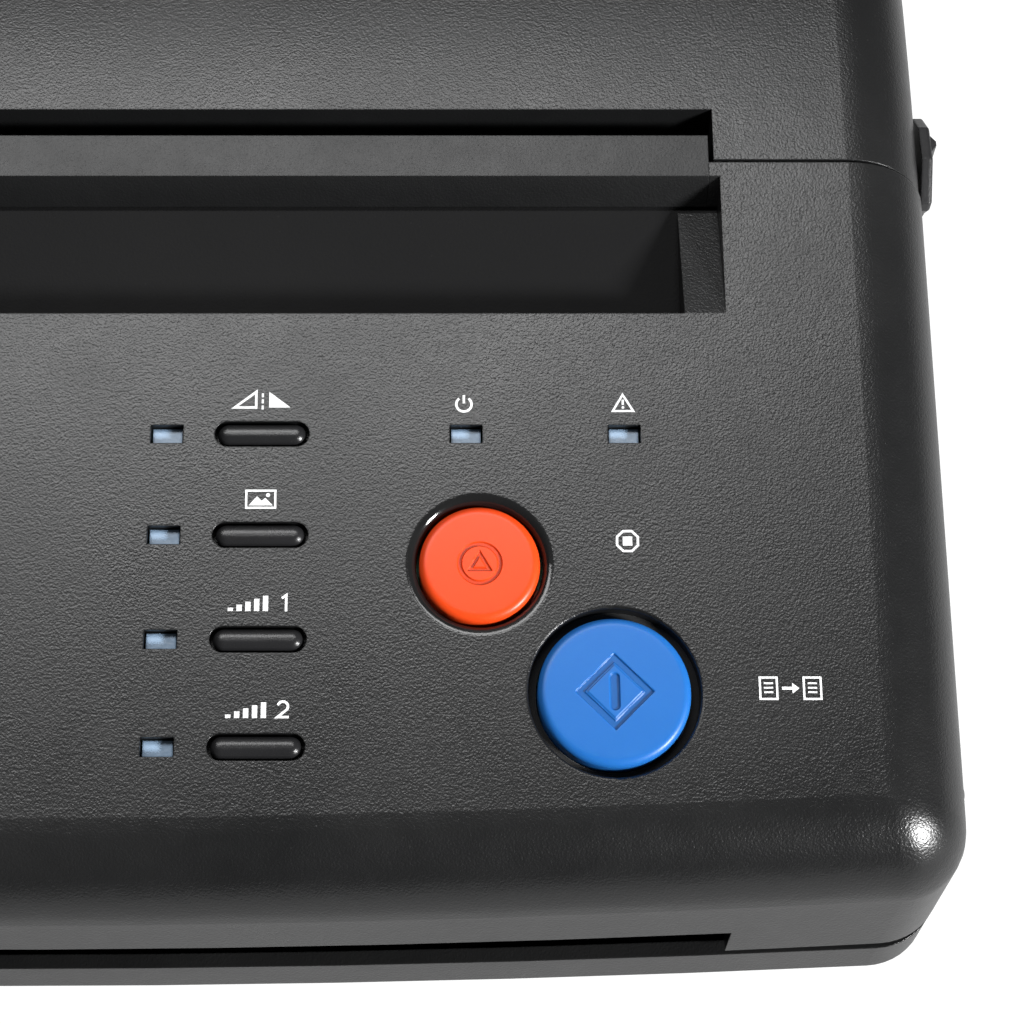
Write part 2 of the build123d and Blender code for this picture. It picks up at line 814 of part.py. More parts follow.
def coil_spring(length):
    """A compression spring that stands on the origin's plane."""
    rise = length - 2 * spring_wire
    with BuildPart() as spring:
        with BuildLine(Plane.XY.offset(spring_wire)):
            coil = Helix(pitch=rise / spring_turns, height=rise, radius=spring_radius - spring_wire)
        with BuildSketch(Plane(origin=coil @ 0, z_dir=coil % 0)):
            Circle(spring_wire)
        sweep(path=coil, is_frenet=True)
    return spring.part


def make_head():
    """Thermal head: aluminium heatsink with a ceramic strip, on two shoulder posts and springs."""
    half = heatsink_length / 2
    groove_y = [heatsink_front + sink_groove_first + sink_groove_pitch * n for n in range(4)]
    with BuildPart() as sink:
        add(block((-half, half), (heatsink_front, heatsink_rear), (sink_bottom, sink_top)))
        with BuildSketch(Plane.XY.offset(sink_top)):
            with Locations(*[(0, y) for y in groove_y if abs(y - spring_y) > spring_radius + 0.5]):
                Rectangle(heatsink_length - 2 * sink_groove_ends, sink_groove)
        extrude(amount=-heatsink_height / 2, mode=Mode.SUBTRACT)
        with BuildSketch(Plane.XY.offset(sink_bottom)):
            with Locations(*post_places):
                Circle(head_post_radius + running_fit)
        extrude(amount=heatsink_height, mode=Mode.SUBTRACT)
    save(sink.part, "head_heatsink")
    strip_run = (platen_y - head_strip_width / 2, platen_y + head_strip_width / 2)
    with BuildPart() as strip:
        add(block((1 - half, half - 1), strip_run, (strip_bottom, sink_bottom)))
        chamfer(strip.edges().group_by(Axis.Z)[0].filter_by(Axis.X), length=strip_bevel)
    save(strip.part, "thermal_head")
    with BuildPart() as posts:
        with BuildSketch(Plane.XY.offset(sink_bottom)):
            with Locations(*post_places):
                Circle(post_head_radius)
        extrude(amount=-post_head)
        with BuildSketch(Plane.XY.offset(sink_bottom)):
            with Locations(*post_places):
                Circle(head_post_radius)
        extrude(amount=post_seat + post_grip - sink_bottom)
    save(posts.part, "head_posts")
    spring = coil_spring(spring_seat - sink_top)
    with BuildPart() as springs:
        with Locations(*[(x, y, sink_top) for x, y in spring_places]):
            add(spring)
    save(springs.part, "head_springs")


# ---- shafts, rollers and gears --------------------------------------------------------------------


def rod(y, z, radius, x_from, x_to):
    """A round bar along X."""
    with BuildPart() as bar:
        with BuildSketch(Plane.YZ.offset(x_from)):
            with Locations((y, z)):
                Circle(radius)
        extrude(amount=x_to - x_from)
    return bar.part


def ring(y, z, outer, inner, x_from, x_to):
    """A round sleeve along X."""
    with BuildPart() as sleeve:
        with BuildSketch(Plane.YZ.offset(x_from)):
            with Locations((y, z)):
                Circle(outer)
                Circle(inner, mode=Mode.SUBTRACT)
        extrude(amount=x_to - x_from)
    return sleeve.part


def gear_points(centre, teeth, phase):
    """Outline of a spur gear with straight-sided teeth, as (y, z) points; phase in degrees."""
    pitch_radius = module * teeth / 2
    tip = pitch_radius + addendum * module
    root = pitch_radius - dedendum * module
    step = 2 * pi / teeth
    half_pitch = step / 4 - backlash * module / pitch_radius / 2
    half_tip = half_pitch - flank_slope * module * addendum / tip
    half_root = half_pitch + flank_slope * module * dedendum / root
    points = []
    for n in range(teeth):
        middle = radians(phase) + n * step
        for radius, spread in (
            (root, -half_root),
            (tip, -half_tip),
            (tip, half_tip),
            (root, half_root),
        ):
            angle = middle + spread
            points.append((centre[0] + radius * cos(angle), centre[1] + radius * sin(angle)))
    return points


def gear(centre, teeth, phase, bore, x_from, x_to):
    """A spur gear on an axis along X."""
    with BuildPart() as wheel:
        with BuildSketch(Plane.YZ.offset(x_from)):
            with BuildLine():
                Polyline(*gear_points(centre, teeth, phase), close=True)
            make_face()
            with Locations(centre):
                Circle(bore, mode=Mode.SUBTRACT)
        extrude(amount=x_to - x_from)
    return wheel.part


def meshed_phase(centre, teeth, phase, other, other_teeth):
    """Phase of a second gear whose gap faces the first gear's tooth on the line of centres."""
    line = degrees(atan2(other[1] - centre[1], other[0] - centre[0]))
    tooth_share = (line - phase) * teeth / 360
    return line + 180 - 360 / other_teeth * (0.5 - tooth_share)


def beside(centre, teeth, other_teeth, angle):
    """Centre of a gear that meshes with another in a direction, in degrees from +Y."""
    reach = module * (teeth + other_teeth) / 2
    return (centre[0] + reach * cos(radians(angle)), centre[1] + reach * sin(radians(angle)))


def between(low, low_teeth, high, high_teeth, idler_teeth):
    """Centre of an idler that meshes with two gears, on the lower side of their line."""
    a = module * (low_teeth + idler_teeth) / 2
    b = module * (high_teeth + idler_teeth) / 2
    span = hypot(high[0] - low[0], high[1] - low[1])
    along = (a * a - b * b + span * span) / (2 * span)
    off = sqrt(a * a - along * along)
    uy = (high[0] - low[0]) / span
    uz = (high[1] - low[1]) / span
    return (low[0] + along * uy + off * uz, low[1] + along * uz - off * uy)


platen_at = (platen_y, platen_z)
feed_at = path_point(feed_y, tyre_stand - feed_radius)
exit_at = path_point(exit_y, tyre_stand - exit_radius)
stencil_idler_at = beside(platen_at, platen_teeth, stencil_idler_teeth, -42)
stencil_pinion_at = beside(stencil_idler_at, stencil_idler_teeth, pinion_teeth, -20)
document_idler_at = between(exit_at, exit_teeth, feed_at, feed_teeth, document_idler_teeth)
document_pinion_at = beside(feed_at, feed_teeth, pinion_teeth, -8)

platen_phase = 0.0
stencil_idler_phase = meshed_phase(
    platen_at, platen_teeth, platen_phase, stencil_idler_at, stencil_idler_teeth
)
stencil_pinion_phase = meshed_phase(
    stencil_idler_at, stencil_idler_teeth, stencil_idler_phase, stencil_pinion_at, pinion_teeth
)
feed_phase = 0.0
document_pinion_phase = meshed_phase(
    feed_at, feed_teeth, feed_phase, document_pinion_at, pinion_teeth
)
document_idler_phase = meshed_phase(
    feed_at, feed_teeth, feed_phase, document_idler_at, document_idler_teeth
)
exit_phase = meshed_phase(
    document_idler_at, document_idler_teeth, document_idler_phase, exit_at, exit_teeth
)

roller_axes = ((platen_at, platen_shaft), (feed_at, small_shaft), (exit_at, small_shaft))


def make_rollers():
    """Platen, feed roller and exit roller, each on a through shaft with its gear."""
    half = platen_length / 2
    save(rod(*platen_at, platen_shaft, shaft_left, shaft_right), "platen_shaft")
    save(ring(*platen_at, platen_radius, platen_shaft, -half, half), "platen_rubber")
    for name, at, radius in (("feed", feed_at, feed_radius), ("exit", exit_at, exit_radius)):
        save(rod(*at, small_shaft, shaft_left, shaft_right), f"{name}_shaft")
        with BuildPart() as tyres:
            for x in tyre_places:
                add(ring(*at, radius, small_shaft, x - tyre_width / 2, x + tyre_width / 2))
        save(tyres.part, f"{name}_tyres")


def make_gears():
    """The two gear trains on the left of the chassis."""
    span = (gear_outer_x, gear_inner_x)
    save(gear(platen_at, platen_teeth, platen_phase, platen_shaft, *span), "platen_gear")
    save(gear(feed_at, feed_teeth, feed_phase, small_shaft, *span), "feed_gear")
    save(gear(exit_at, exit_teeth, exit_phase, small_shaft, *span), "exit_gear")
    idler_bore = stud_radius + running_fit
    save(
        gear(stencil_idler_at, stencil_idler_teeth, stencil_idler_phase, idler_bore, *span),
        "stencil_idler_gear",
    )
    save(
        gear(document_idler_at, document_idler_teeth, document_idler_phase, idler_bore, *span),
        "document_idler_gear",
    )
    stud_end = gear_outer_x - clearance
    with BuildPart() as studs:
        for at in (stencil_idler_at, document_idler_at):
            add(rod(*at, stud_radius, stud_end, -plate_outer))
            add(rod(*at, stud_radius + stud_head, stud_end - stud_head, stud_end))
            add(rod(*at, stud_radius + stud_shoulder, gear_inner_x + clearance, -plate_outer))
    save(studs.part, "idler_studs")
    for name, at, phase in (
        ("stencil_pinion", stencil_pinion_at, stencil_pinion_phase),
        ("document_pinion", document_pinion_at, document_pinion_phase),
    ):
        with BuildPart() as pinion:
            add(gear(at, pinion_teeth, phase, pinion_shaft, *span))
            add(rod(*at, pinion_shaft, gear_outer_x, -plate_inner + pinion_grip))
        save(pinion.part, name)


def make_motors():
    """Motor cans inside the left chassis plate, each with a bore for its pinion's shaft."""
    for name, at, radius in (
        ("stencil_motor", stencil_pinion_at, stencil_motor_radius),
        ("document_motor", document_pinion_at, document_motor_radius),
    ):
        with BuildPart() as motor:
            with BuildSketch(Plane.YZ.offset(-plate_inner)):
                with Locations(at):
                    Circle(radius)
            extrude(amount=motor_length)
            chamfer(motor.edges().filter_by(GeomType.CIRCLE), length=motor_edge)
            with BuildSketch(Plane.YZ.offset(-plate_inner)):
                with Locations(at):
                    Circle(pinion_shaft + running_fit)
            extrude(amount=pinion_grip + 0.5, mode=Mode.SUBTRACT)
        save(motor.part, name)


# ---- chassis ---------------------------------------------------------------------------------------


def chassis_plate(side):
    """A pressed steel side plate with a foot flange, bush holes and shaft holes."""
    shoulder_y = (plate_front_y + plate_top[0]) / 2
    outline = [
        (plate_front_y, floor_z),
        (plate_front_y, plate_front_z),
        (shoulder_y, guide_height(shoulder_y) + guide_thickness),
        (plate_top[0], plate_top_z),
        (plate_top[1], plate_top_z),
        (plate_rear_y, rear_pivot_z),
        (plate_rear_y, floor_z),
    ]
    with BuildPart() as plate:
        with BuildSketch(Plane.YZ.offset(plate_inner)):
            with BuildLine():
                Polyline(*outline, close=True)
            make_face()
            with Locations(plate_slot_at):
                SlotOverall(*plate_slot, mode=Mode.SUBTRACT)
            with Locations((latch_y, latch_z)):
                Circle(latch_shaft_radius + clearance, mode=Mode.SUBTRACT)
            for at, radius in roller_axes:
                with Locations(at):
                    Circle(bush_radius, mode=Mode.SUBTRACT)
            if side < 0:
                with Locations(stencil_pinion_at, document_pinion_at):
                    Circle(pinion_shaft + 2 * clearance, mode=Mode.SUBTRACT)
        extrude(amount=plate_thickness)
        flange_x = (plate_inner, plate_inner + flange_width)
        for run in flange_runs:
            add(block(flange_x, run, (floor_z, floor_z + plate_thickness)))
        with BuildSketch(Plane.XY.offset(floor_z)):
            with Locations(*[(flange_hole_x, y) for y in flange_holes]):
                Circle(case_screw + running_fit)
        extrude(amount=plate_thickness, mode=Mode.SUBTRACT)
    if side < 0:
        return mirror(plate.part, about=Plane.YZ)
    return plate.part


def make_chassis():
    save(chassis_plate(-1), "left_chassis_plate")
    save(chassis_plate(1), "right_chassis_plate")
    with BuildPart() as bushes:
        for at, radius in roller_axes:
            add(ring(*at, bush_radius, radius + running_fit, plate_inner, plate_outer + bush_rim))
        mirror(about=Plane.YZ)
    save(bushes.part, "roller_bushes")


def screw(x, y, z, shank, length):
    """A pan-head screw standing head up at a point on its seat."""
    with BuildPart() as made:
        with BuildSketch(Plane.XY.offset(z)):
            with Locations((x, y)):
                Circle(shank * 1.9)
        extrude(amount=shank * 1.1)
        chamfer(made.edges().group_by(Axis.Z)[-1], length=shank * 0.5)
        with BuildSketch(Plane.XY.offset(z)):
            with Locations((x, y)):
                Circle(shank)
        extrude(amount=-length)
    return made.part


def make_hinge_arms():
    """Gooseneck steel arms that carry the covers' hinge pins."""
    for name, x, pivot, reach in (
        ("front_hinge_arms", front_arm_x, (front_pivot_y, front_pivot_z), 1),
        ("rear_hinge_arms", rear_arm_x, (rear_pivot_y, rear_pivot_z), -1),
    ):
        post_near = pivot[0] + reach * arm_reach
        post_far = post_near + reach * arm_post
        low = pivot[1] - arm_underside
        high = pivot[1] + hinge_eye
        outline = [
            (pivot[0], low),
            (post_near, low),
            (post_near, floor_z),
            (post_far, floor_z),
            (post_far, high - 2),
            (post_far - reach * 2, high),
            (pivot[0], high),
        ]
        with BuildPart() as arms:
            with BuildSketch(Plane.YZ.offset(x)):
                with BuildLine():
                    Polyline(*outline, close=True)
                make_face()
                with Locations(pivot):
                    Circle(hinge_eye)
                    Circle(hinge_pin + running_fit, mode=Mode.SUBTRACT)
            extrude(amount=arm_thickness)
            span = sorted((post_near, post_far))
            add(block((x - arm_flange, x), span, (floor_z, floor_z + arm_thickness)))
            with BuildSketch(Plane.XY.offset(floor_z)):
                with Locations((x - arm_screw_inset, sum(span) / 2)):
                    Circle(case_screw + running_fit)
            extrude(amount=arm_thickness, mode=Mode.SUBTRACT)
            mirror(about=Plane.YZ)
        save(arms.part, name)
        head_end = x - clearance / 3
        with BuildPart() as pins:
            add(rod(*pivot, hinge_pin, head_end, x + arm_thickness + clearance + lug_thickness))
            add(rod(*pivot, hinge_pin + pin_head, head_end - 2 * pin_head, head_end))
            mirror(about=Plane.YZ)
        save(pins.part, name.replace("arms", "pins"))


def make_screws():
    """Screws that hold the chassis, the hinge arms and the boards to the lower case."""
    board_places = board_holes(main_board_at, main_board_size)
    board_places += board_holes(power_board_at, power_board_size)
    board_top = floor_z + standoff + board_thickness
    with BuildPart() as screws:
        for side in (-1, 1):
            for y in flange_holes:
                add(screw(side * flange_hole_x, y, floor_z + plate_thickness, case_screw, plate_thickness))
            for x, pivot_y, reach in ((front_arm_x, front_pivot_y, 1), (rear_arm_x, rear_pivot_y, -1)):
                y = pivot_y + reach * (arm_reach + arm_post / 2)
                place = side * (x - arm_screw_inset)
                add(screw(place, y, floor_z + arm_thickness, case_screw, arm_thickness))
        for x, y in board_places:
            add(screw(x, y, board_top, board_screw, board_thickness + 3))
    save(screws.part, "case_screws")


# ---- document path ------------------------------------------------------------------------------------


def guide_points(offset_z, front, rear):
    """Points along the document guide, front to rear, raised by a height."""
    stations = [front, path_bend_y, entry_floor_y, rear]
    return [(y, guide_height(y) + offset_z) for y in stations if front <= y <= rear]


def path_plane(y, height=0.0):
    """A plane on the document path, X across and Y up the slope."""
    at = path_point(y, height)
    slope = radians(path_slope)
    return Plane(origin=(0, at[0], at[1]), x_dir=(1, 0, 0), z_dir=(0, -sin(slope), cos(slope)))


def make_document_guide():
    """Lower document guide: a bent moulding with roller windows, ribs and a rear apron."""
    top = guide_points(0, path_front_y, guide_rear_y)
    bottom = guide_points(-guide_thickness, path_front_y, guide_rear_y)
    apron_front = guide_rear_y - guide_thickness
    apron_foot = guide_height(guide_rear_y) - guide_apron
    outline = (
        top
        + [(guide_rear_y, apron_foot), (apron_front, apron_foot)]
        + [(apron_front, guide_height(apron_front) - guide_thickness)]
        + bottom[:-1][::-1]
    )
    half = plate_inner
    with BuildPart() as guide:
        add(bar_x(outline, -half, half))
        for side in (-1, 1):
            span = sorted((side * (ridge_width / 2 - 0.5), side * (half + 1)))
            add(block(span, (seam_y - 1.5, tall), (0, tall)), mode=Mode.SUBTRACT)
            span = sorted((side * (half_slot - clearance), side * (half + 1)))
            swing = (-half_depth, front_pivot_y + front_swing)
            add(block(span, swing, (0, tall)), mode=Mode.SUBTRACT)
        for y, radius in ((feed_y, feed_radius), (exit_y, exit_radius)):
            with BuildSketch(path_plane(y)):
                with Locations(*[(x, 0) for x in tyre_places]):
                    Rectangle(tyre_width + 2 * window_gap, 2 * radius)
            extrude(amount=guide_thickness * 2, both=True, mode=Mode.SUBTRACT)
        with BuildSketch(path_plane(sensor_y)):
            Rectangle(sensor_length - 6, sensor_width - 3)
        extrude(amount=guide_thickness * 2, both=True, mode=Mode.SUBTRACT)
    save(guide.part, "document_guide")


def make_sensor():
    """Contact image sensor bar under its window, with its glass."""
    with BuildPart() as bar:
        with BuildSketch(path_plane(sensor_y, -guide_thickness)):
            Rectangle(sensor_length, sensor_width)
        extrude(amount=-sensor_height)
        with BuildSketch(path_plane(sensor_y, -guide_thickness)):
            Rectangle(sensor_length - 8, sensor_width - 6)
        extrude(amount=-1.5, mode=Mode.SUBTRACT)
    save(bar.part, "image_sensor")
    with BuildPart() as glass:
        with BuildSketch(path_plane(sensor_y, -guide_thickness)):
            Rectangle(sensor_length - 6.6, sensor_width - 3.6)
        extrude(amount=guide_thickness - 0.2)
    save(glass.part, "sensor_glass")


def make_stencil_guide():
    """Lower stencil guide from the rear entry to the platen."""
    front_y = platen_y + platen_radius + stencil_guide_drop
    front_z = platen_z + platen_radius - stencil_guide_drop
    rear_y = half_depth - base_inset - wall
    outline = [
        (front_y, front_z),
        (rear_y, rear_slot_low),
        (rear_y, rear_slot_low - guide_thickness),
        (front_y, front_z - guide_thickness),
    ]
    with BuildPart() as guide:
        add(bar_x(outline, -plate_inner, plate_inner))
        # its rear corners stay inside the slot's ends, clear of the rear cover's swing
        for side in (-1, 1):
            span = sorted((side * (rear_slot_width / 2 - 1), side * (plate_inner + 1)))
            add(block(span, (plate_rear_y - 1, tall), (0, tall)), mode=Mode.SUBTRACT)
    save(guide.part, "stencil_guide")


def make_upper_guide():
    """Upper document guide hung from the panel, with ears for the pinch rollers."""
    front_y = upper_guide_front
    rear_y = upper_guide_rear
    low = guide_points(upper_guide_gap, front_y, rear_y)
    high = guide_points(upper_guide_gap + upper_guide_thickness, front_y, rear_y)
    half = upper_guide_half
    end_y = front_y + 4
    end_outline = [
        (end_y, guide_height(end_y) + upper_guide_gap),
        (rear_y, guide_height(rear_y) + upper_guide_gap),
        (rear_y, tall),
        (end_y, tall),
    ]
    end_plate = bar_x(end_outline, half - upper_guide_end, half)
    ear_foot = upper_guide_gap + upper_guide_thickness / 2
    ear_x = [x + side * (pinch_width / 2 + 3) for x in tyre_places for side in (-1, 1)]
    with BuildPart() as guide:
        add(bar_x(low + high[::-1], -half, half))
        # end plates up to the underside of the panel
        add(end_plate)
        add(mirror(end_plate, about=Plane.YZ))
        add(front_form(wall, cover_bottom), mode=Mode.INTERSECT)
        for y in (feed_y, exit_y):
            with BuildSketch(path_plane(y)):
                with Locations(*[(x, 0) for x in tyre_places]):
                    Rectangle(pinch_width + window_gap, 2 * pinch_radius)
            extrude(amount=2 * pinch_radius, mode=Mode.SUBTRACT)
            with BuildSketch(path_plane(y, ear_foot)):
                with Locations(*[(x, 0) for x in ear_x]):
                    Rectangle(ear_thickness, ear_width)
            extrude(amount=pinch_height - ear_foot + ear_rim)
            bore = rod(*path_point(y, pinch_height), pinch_shaft + running_fit, -half, half)
            add(bore, mode=Mode.SUBTRACT)
    save(guide.part, "upper_guide")


def make_pinch_rollers():
    """Pinch rollers: one thin shaft with four small tyres over each driven roller."""
    for name, y in (("feed_pinch_roller", feed_y), ("exit_pinch_roller", exit_y)):
        at = path_point(y, pinch_height)
        reach = tyre_places[-1] + pinch_width / 2 + 5
        with BuildPart() as roller:
            add(rod(*at, pinch_shaft, -reach, reach))
            for x in tyre_places:
                add(rod(*at, pinch_radius, x - pinch_width / 2, x + pinch_width / 2))
        save(roller.part, name)


# ---- controls -----------------------------------------------------------------------------------------


def make_keys():
    """Four bar keys with rounded tops, a flange behind the panel and a stem into the switch."""
    flange_top = -(wall + 0.1)
    flange_low = flange_top - key_flange_thickness
    flange_size = (key_hole[0] + 2 * key_flange, key_hole[1] + 2 * key_flange)
    for name, row in zip(key_names, key_rows):
        with BuildPart() as key:
            with BuildSketch(panel.offset(flange_low)):
                with Locations((key_x, row)):
                    SlotOverall(*key_size)
            extrude(amount=cap_rise + 0.1 - flange_low)
            top = key.faces().sort_by(Axis.Z)[-1]
            fillet(top.edges(), radius=key_size[1] / 2 - key_edge)
            with BuildSketch(panel.offset(flange_low)):
                with Locations((key_x, row)):
                    SlotOverall(*flange_size)
            extrude(amount=flange_top - flange_low)
            with BuildSketch(panel.offset(flange_low)):
                with Locations((key_x, row)):
                    Circle(stem_radius)
            extrude(amount=switch_top - stem_rest - flange_low)
        save(key.part, name)


def round_cap(at, radius, hole_radius):
    """A round push cap: rounded top, hollow skirt, three retaining lugs and a centre stem."""
    with BuildPart() as cap:
        with BuildSketch(panel.offset(-cap_skirt)):
            with Locations(at):
                Circle(radius)
        extrude(amount=cap_skirt + cap_rise)
        fillet(cap.faces().sort_by(Axis.Z)[-1].edges(), radius=cap_edge)
        with BuildSketch(panel.offset(-cap_skirt)):
            with Locations(at):
                Circle(radius - cap_wall)
        extrude(amount=cap_skirt + cap_rise - cap_wall - 0.2, mode=Mode.SUBTRACT)
        lug_size = (hole_radius + lug_reach - radius + 0.5, cap_lug_width)
        with BuildSketch(panel.offset(-cap_skirt)):
            with Locations(at):
                with PolarLocations(radius - 0.5, 3, start_angle=90):
                    Rectangle(*lug_size, align=(Align.MIN, Align.CENTER))
        extrude(amount=cap_skirt - sleeve_depth - clearance / 2)
        with BuildSketch(panel.offset(switch_top - stem_rest)):
            with Locations(at):
                Circle(stem_radius)
        extrude(amount=cap_rise - cap_wall + stem_rest - switch_top)
    return cap.part


def make_caps():
    save(round_cap(stop_at, stop_radius, stop_hole_radius), "stop_button")
    save(round_cap(copy_at, copy_radius, copy_hole_radius), "copy_button")


def make_panel_electronics():
    """Panel board with its switches, light pipes and screws."""
    width = board_span[1] - board_span[0]
    run = board_run[1] - board_run[0]
    middle = ((board_span[0] + board_span[1]) / 2, (board_run[0] + board_run[1]) / 2)
    with BuildPart() as board:
        with BuildSketch(panel.offset(-board_depth)):
            with Locations(middle):
                RectangleRounded(width, run, board_corner)
            with Locations(*panel_bosses):
                Circle(pilot_radius, mode=Mode.SUBTRACT)
        extrude(amount=-board_thickness)
    save(board.part, "panel_board")
    with BuildPart() as switches:
        with BuildSketch(panel.offset(-board_depth)):
            with Locations(*switch_places):
                Rectangle(switch_size, switch_size)
        extrude(amount=switch_height)
        with BuildSketch(panel.offset(switch_top)):
            with Locations(*switch_places):
                Circle(stem_radius + clearance / 2)
        extrude(amount=-stem_depth, mode=Mode.SUBTRACT)
    save(switches.part, "tact_switches")
    with BuildPart() as pipes:
        with BuildSketch(panel.offset(-board_depth)):
            with Locations(*lamp_places):
                Rectangle(*lamp_lens)
        extrude(amount=board_depth - lamp_depth)
    save(pipes.part, "lamp_lenses")
    with BuildPart() as screws:
        with BuildSketch(panel.offset(-board_depth - board_thickness)):
            with Locations(*panel_bosses):
                Circle(panel_screw_head[0])
        extrude(amount=-panel_screw_head[1])
        with BuildSketch(panel.offset(-board_depth - board_thickness)):
            with Locations(*panel_bosses):
                Circle(board_screw)
        extrude(amount=board_thickness)
    save(screws.part, "panel_screws")


# ---- latch ------------------------------------------------------------------------------------------------


def make_latch():
    """Cross shaft with a hook near each side and a thumb lever outside each side."""
    lever_x = half_width - base_inset + lever_gap
    tip = lever_x + lever_thickness
    save(rod(latch_y, latch_z, latch_shaft_radius, -tip, tip), "latch_shaft")
    arm = hook_arm_half
    nose_top = latch_z + hook_reach + nose_height
    hook = [
        (latch_y - arm, latch_z),
        (latch_y - arm, nose_top),
        (latch_y + arm, nose_top),
        (latch_y + arm + nose_length, latch_z + hook_reach + hook_tip),
        (latch_y + arm + nose_length, latch_z + hook_reach),
        (latch_y + arm, latch_z + hook_reach),
        (latch_y + arm, latch_z),
    ]
    with BuildPart() as hooks:
        with BuildSketch(Plane.YZ.offset(hook_x)):
            with BuildLine():
                Polyline(*hook, close=True)
            make_face()
            with Locations((latch_y, latch_z)):
                Circle(latch_shaft_radius + hook_hub_wall)
                Circle(latch_shaft_radius, mode=Mode.SUBTRACT)
        extrude(amount=hook_thickness)
        mirror(about=Plane.YZ)
    save(hooks.part, "latch_hooks")
    pin_at = latch_pin_place()
    wall_x = half_width - rear_cover_inset - wall
    with BuildPart() as pins:
        add(rod(*pin_at, latch_pin_radius, hook_x - 0.8, wall_x))
        mirror(about=Plane.YZ)
    save(pins.part, "latch_pins")
    pad_low = lever_top_z - lever_pad_height
    ridge_y = lever_pad_front + 0.62 * (lever_pad_rear - lever_pad_front)
    lever = [
        (latch_y - lever_neck, latch_z),
        (lever_pad_front + 1.5, pad_low),
        (lever_pad_front, pad_low + 3),
        (lever_pad_front, lever_top_z - 4),
        (ridge_y - 4, lever_top_z),
        (ridge_y + 2, lever_top_z),
        (lever_pad_rear, lever_top_z - 3),
        (lever_pad_rear, pad_low + 2),
        (latch_y + lever_neck, pad_low - 4),
        (latch_y + lever_neck, latch_z),
    ]
    with BuildPart() as right:
        with BuildSketch(Plane.YZ.offset(lever_x)):
            with BuildLine():
                Polyline(*lever, close=True)
            make_face()
            with Locations((latch_y, latch_z)):
                Circle(lever_hub)
        extrude(amount=lever_thickness)
        fillet(right.faces().sort_by(Axis.X)[-1].edges(), radius=lever_edge)
        with BuildSketch(Plane.XY.offset(pad_low + 1.5)):
            with BuildLine():
                Polyline(
                    (tip - 0.3, ridge_y - 2.2),
                    (tip + lever_ridge, ridge_y - 0.4),
                    (tip + lever_ridge, ridge_y + 0.4),
                    (tip - 0.3, ridge_y + 2.2),
                    close=True,
                )
            make_face()
        extrude(amount=lever_pad_height - 3)
        with BuildSketch(Plane.YZ.offset(lever_x)):
            with Locations((latch_y, latch_z)):
                Circle(latch_shaft_radius)
        extrude(amount=lever_thickness, mode=Mode.SUBTRACT)
    save(right.part, "right_latch_lever")
    save(mirror(right.part, about=Plane.YZ), "left_latch_lever")


# ---- electrics ---------------------------------------------------------------------------------------------


def circuit_board(at, size, blocks, cans):
    """A board on its standoffs with its larger components."""
    seat = floor_z + standoff
    top = seat + board_thickness
    with BuildPart() as board:
        with BuildSketch(Plane.XY.offset(seat)):
            with Locations(at):
                RectangleRounded(*size, board_corner)
            with Locations(*board_holes(at, size)):
                Circle(pilot_radius, mode=Mode.SUBTRACT)
        extrude(amount=board_thickness)
        for x, y, width, depth, height in blocks:
            with BuildSketch(Plane.XY.offset(top)):
                with Locations((at[0] + x, at[1] + y)):
                    Rectangle(width, depth)
            extrude(amount=height)
        for x, y, radius, height in cans:
            with BuildSketch(Plane.XY.offset(top)):
                with Locations((at[0] + x, at[1] + y)):
                    Circle(radius)
            extrude(amount=height)
    return board.part


def make_boards():
    """Main board and power board."""
    blocks = main_chips + main_sockets
    save(circuit_board(main_board_at, main_board_size, blocks, main_cans), "main_board")
    save(circuit_board(power_board_at, power_board_size, power_blocks, power_cans), "power_board")


def make_inlet():
    """Three-pin power inlet with its blades, set in the rear wall."""
    face = half_depth - base_inset
    flange = Plane.XZ.offset(-(face + fitting_rim))
    body = (inlet_size[0] - 2 * inlet_lip, inlet_size[1] - 2 * inlet_lip)
    inside = (body[0] - 2 * inlet_floor, body[1] - 2 * inlet_floor)
    blades = [(inlet_x + x, inlet_z + z) for x, z in blade_places]
    with BuildPart() as inlet:
        with BuildSketch(flange):
            with Locations((inlet_x, inlet_z)):
                RectangleRounded(*inlet_size, 2.5)
        extrude(amount=fitting_rim)
        with BuildSketch(Plane.XZ.offset(-face)):
            with Locations((inlet_x, inlet_z)):
                Rectangle(*body)
        extrude(amount=inlet_depth)
        with BuildSketch(flange):
            with Locations((inlet_x, inlet_z)):
                Rectangle(*inside)
        extrude(amount=inlet_depth - inlet_floor, mode=Mode.SUBTRACT)
        with BuildSketch(Plane.XZ.offset(-(face - inlet_depth + inlet_floor))):
            with Locations(*blades):
                Rectangle(*blade_size)
        extrude(amount=-blade_length)
    save(inlet.part, "power_inlet")


def make_switch_housing():
    """Housing of the mains switch, set in the rear wall beside the inlet."""
    face = half_depth - base_inset
    flange = Plane.XZ.offset(-(face + fitting_rim))
    well = (rocker_size[0] + 2 * clearance, rocker_size[1] + 4 * clearance)
    pivot_half = rocker_size[0] / 2 + rocker_trunnion + clearance
    with BuildPart() as housing:
        with BuildSketch(flange):
            with Locations((switch_x, inlet_z)):
                RectangleRounded(*switch_frame, 1.0)
        extrude(amount=fitting_rim)
        with BuildSketch(Plane.XZ.offset(-face)):
            with Locations((switch_x, inlet_z)):
                Rectangle(switch_frame[0] - 2 * switch_lip, switch_frame[1] - 2 * switch_lip)
        extrude(amount=switch_depth)
        with BuildSketch(flange):
            with Locations((switch_x, inlet_z)):
                Rectangle(*well)
        extrude(amount=switch_well, mode=Mode.SUBTRACT)
        with BuildSketch(Plane.YZ.offset(switch_x - pivot_half)):
            with Locations(rocker_axis):
                Circle(rocker_trunnion)
        extrude(amount=2 * pivot_half, mode=Mode.SUBTRACT)
    save(housing.part, "switch_housing")


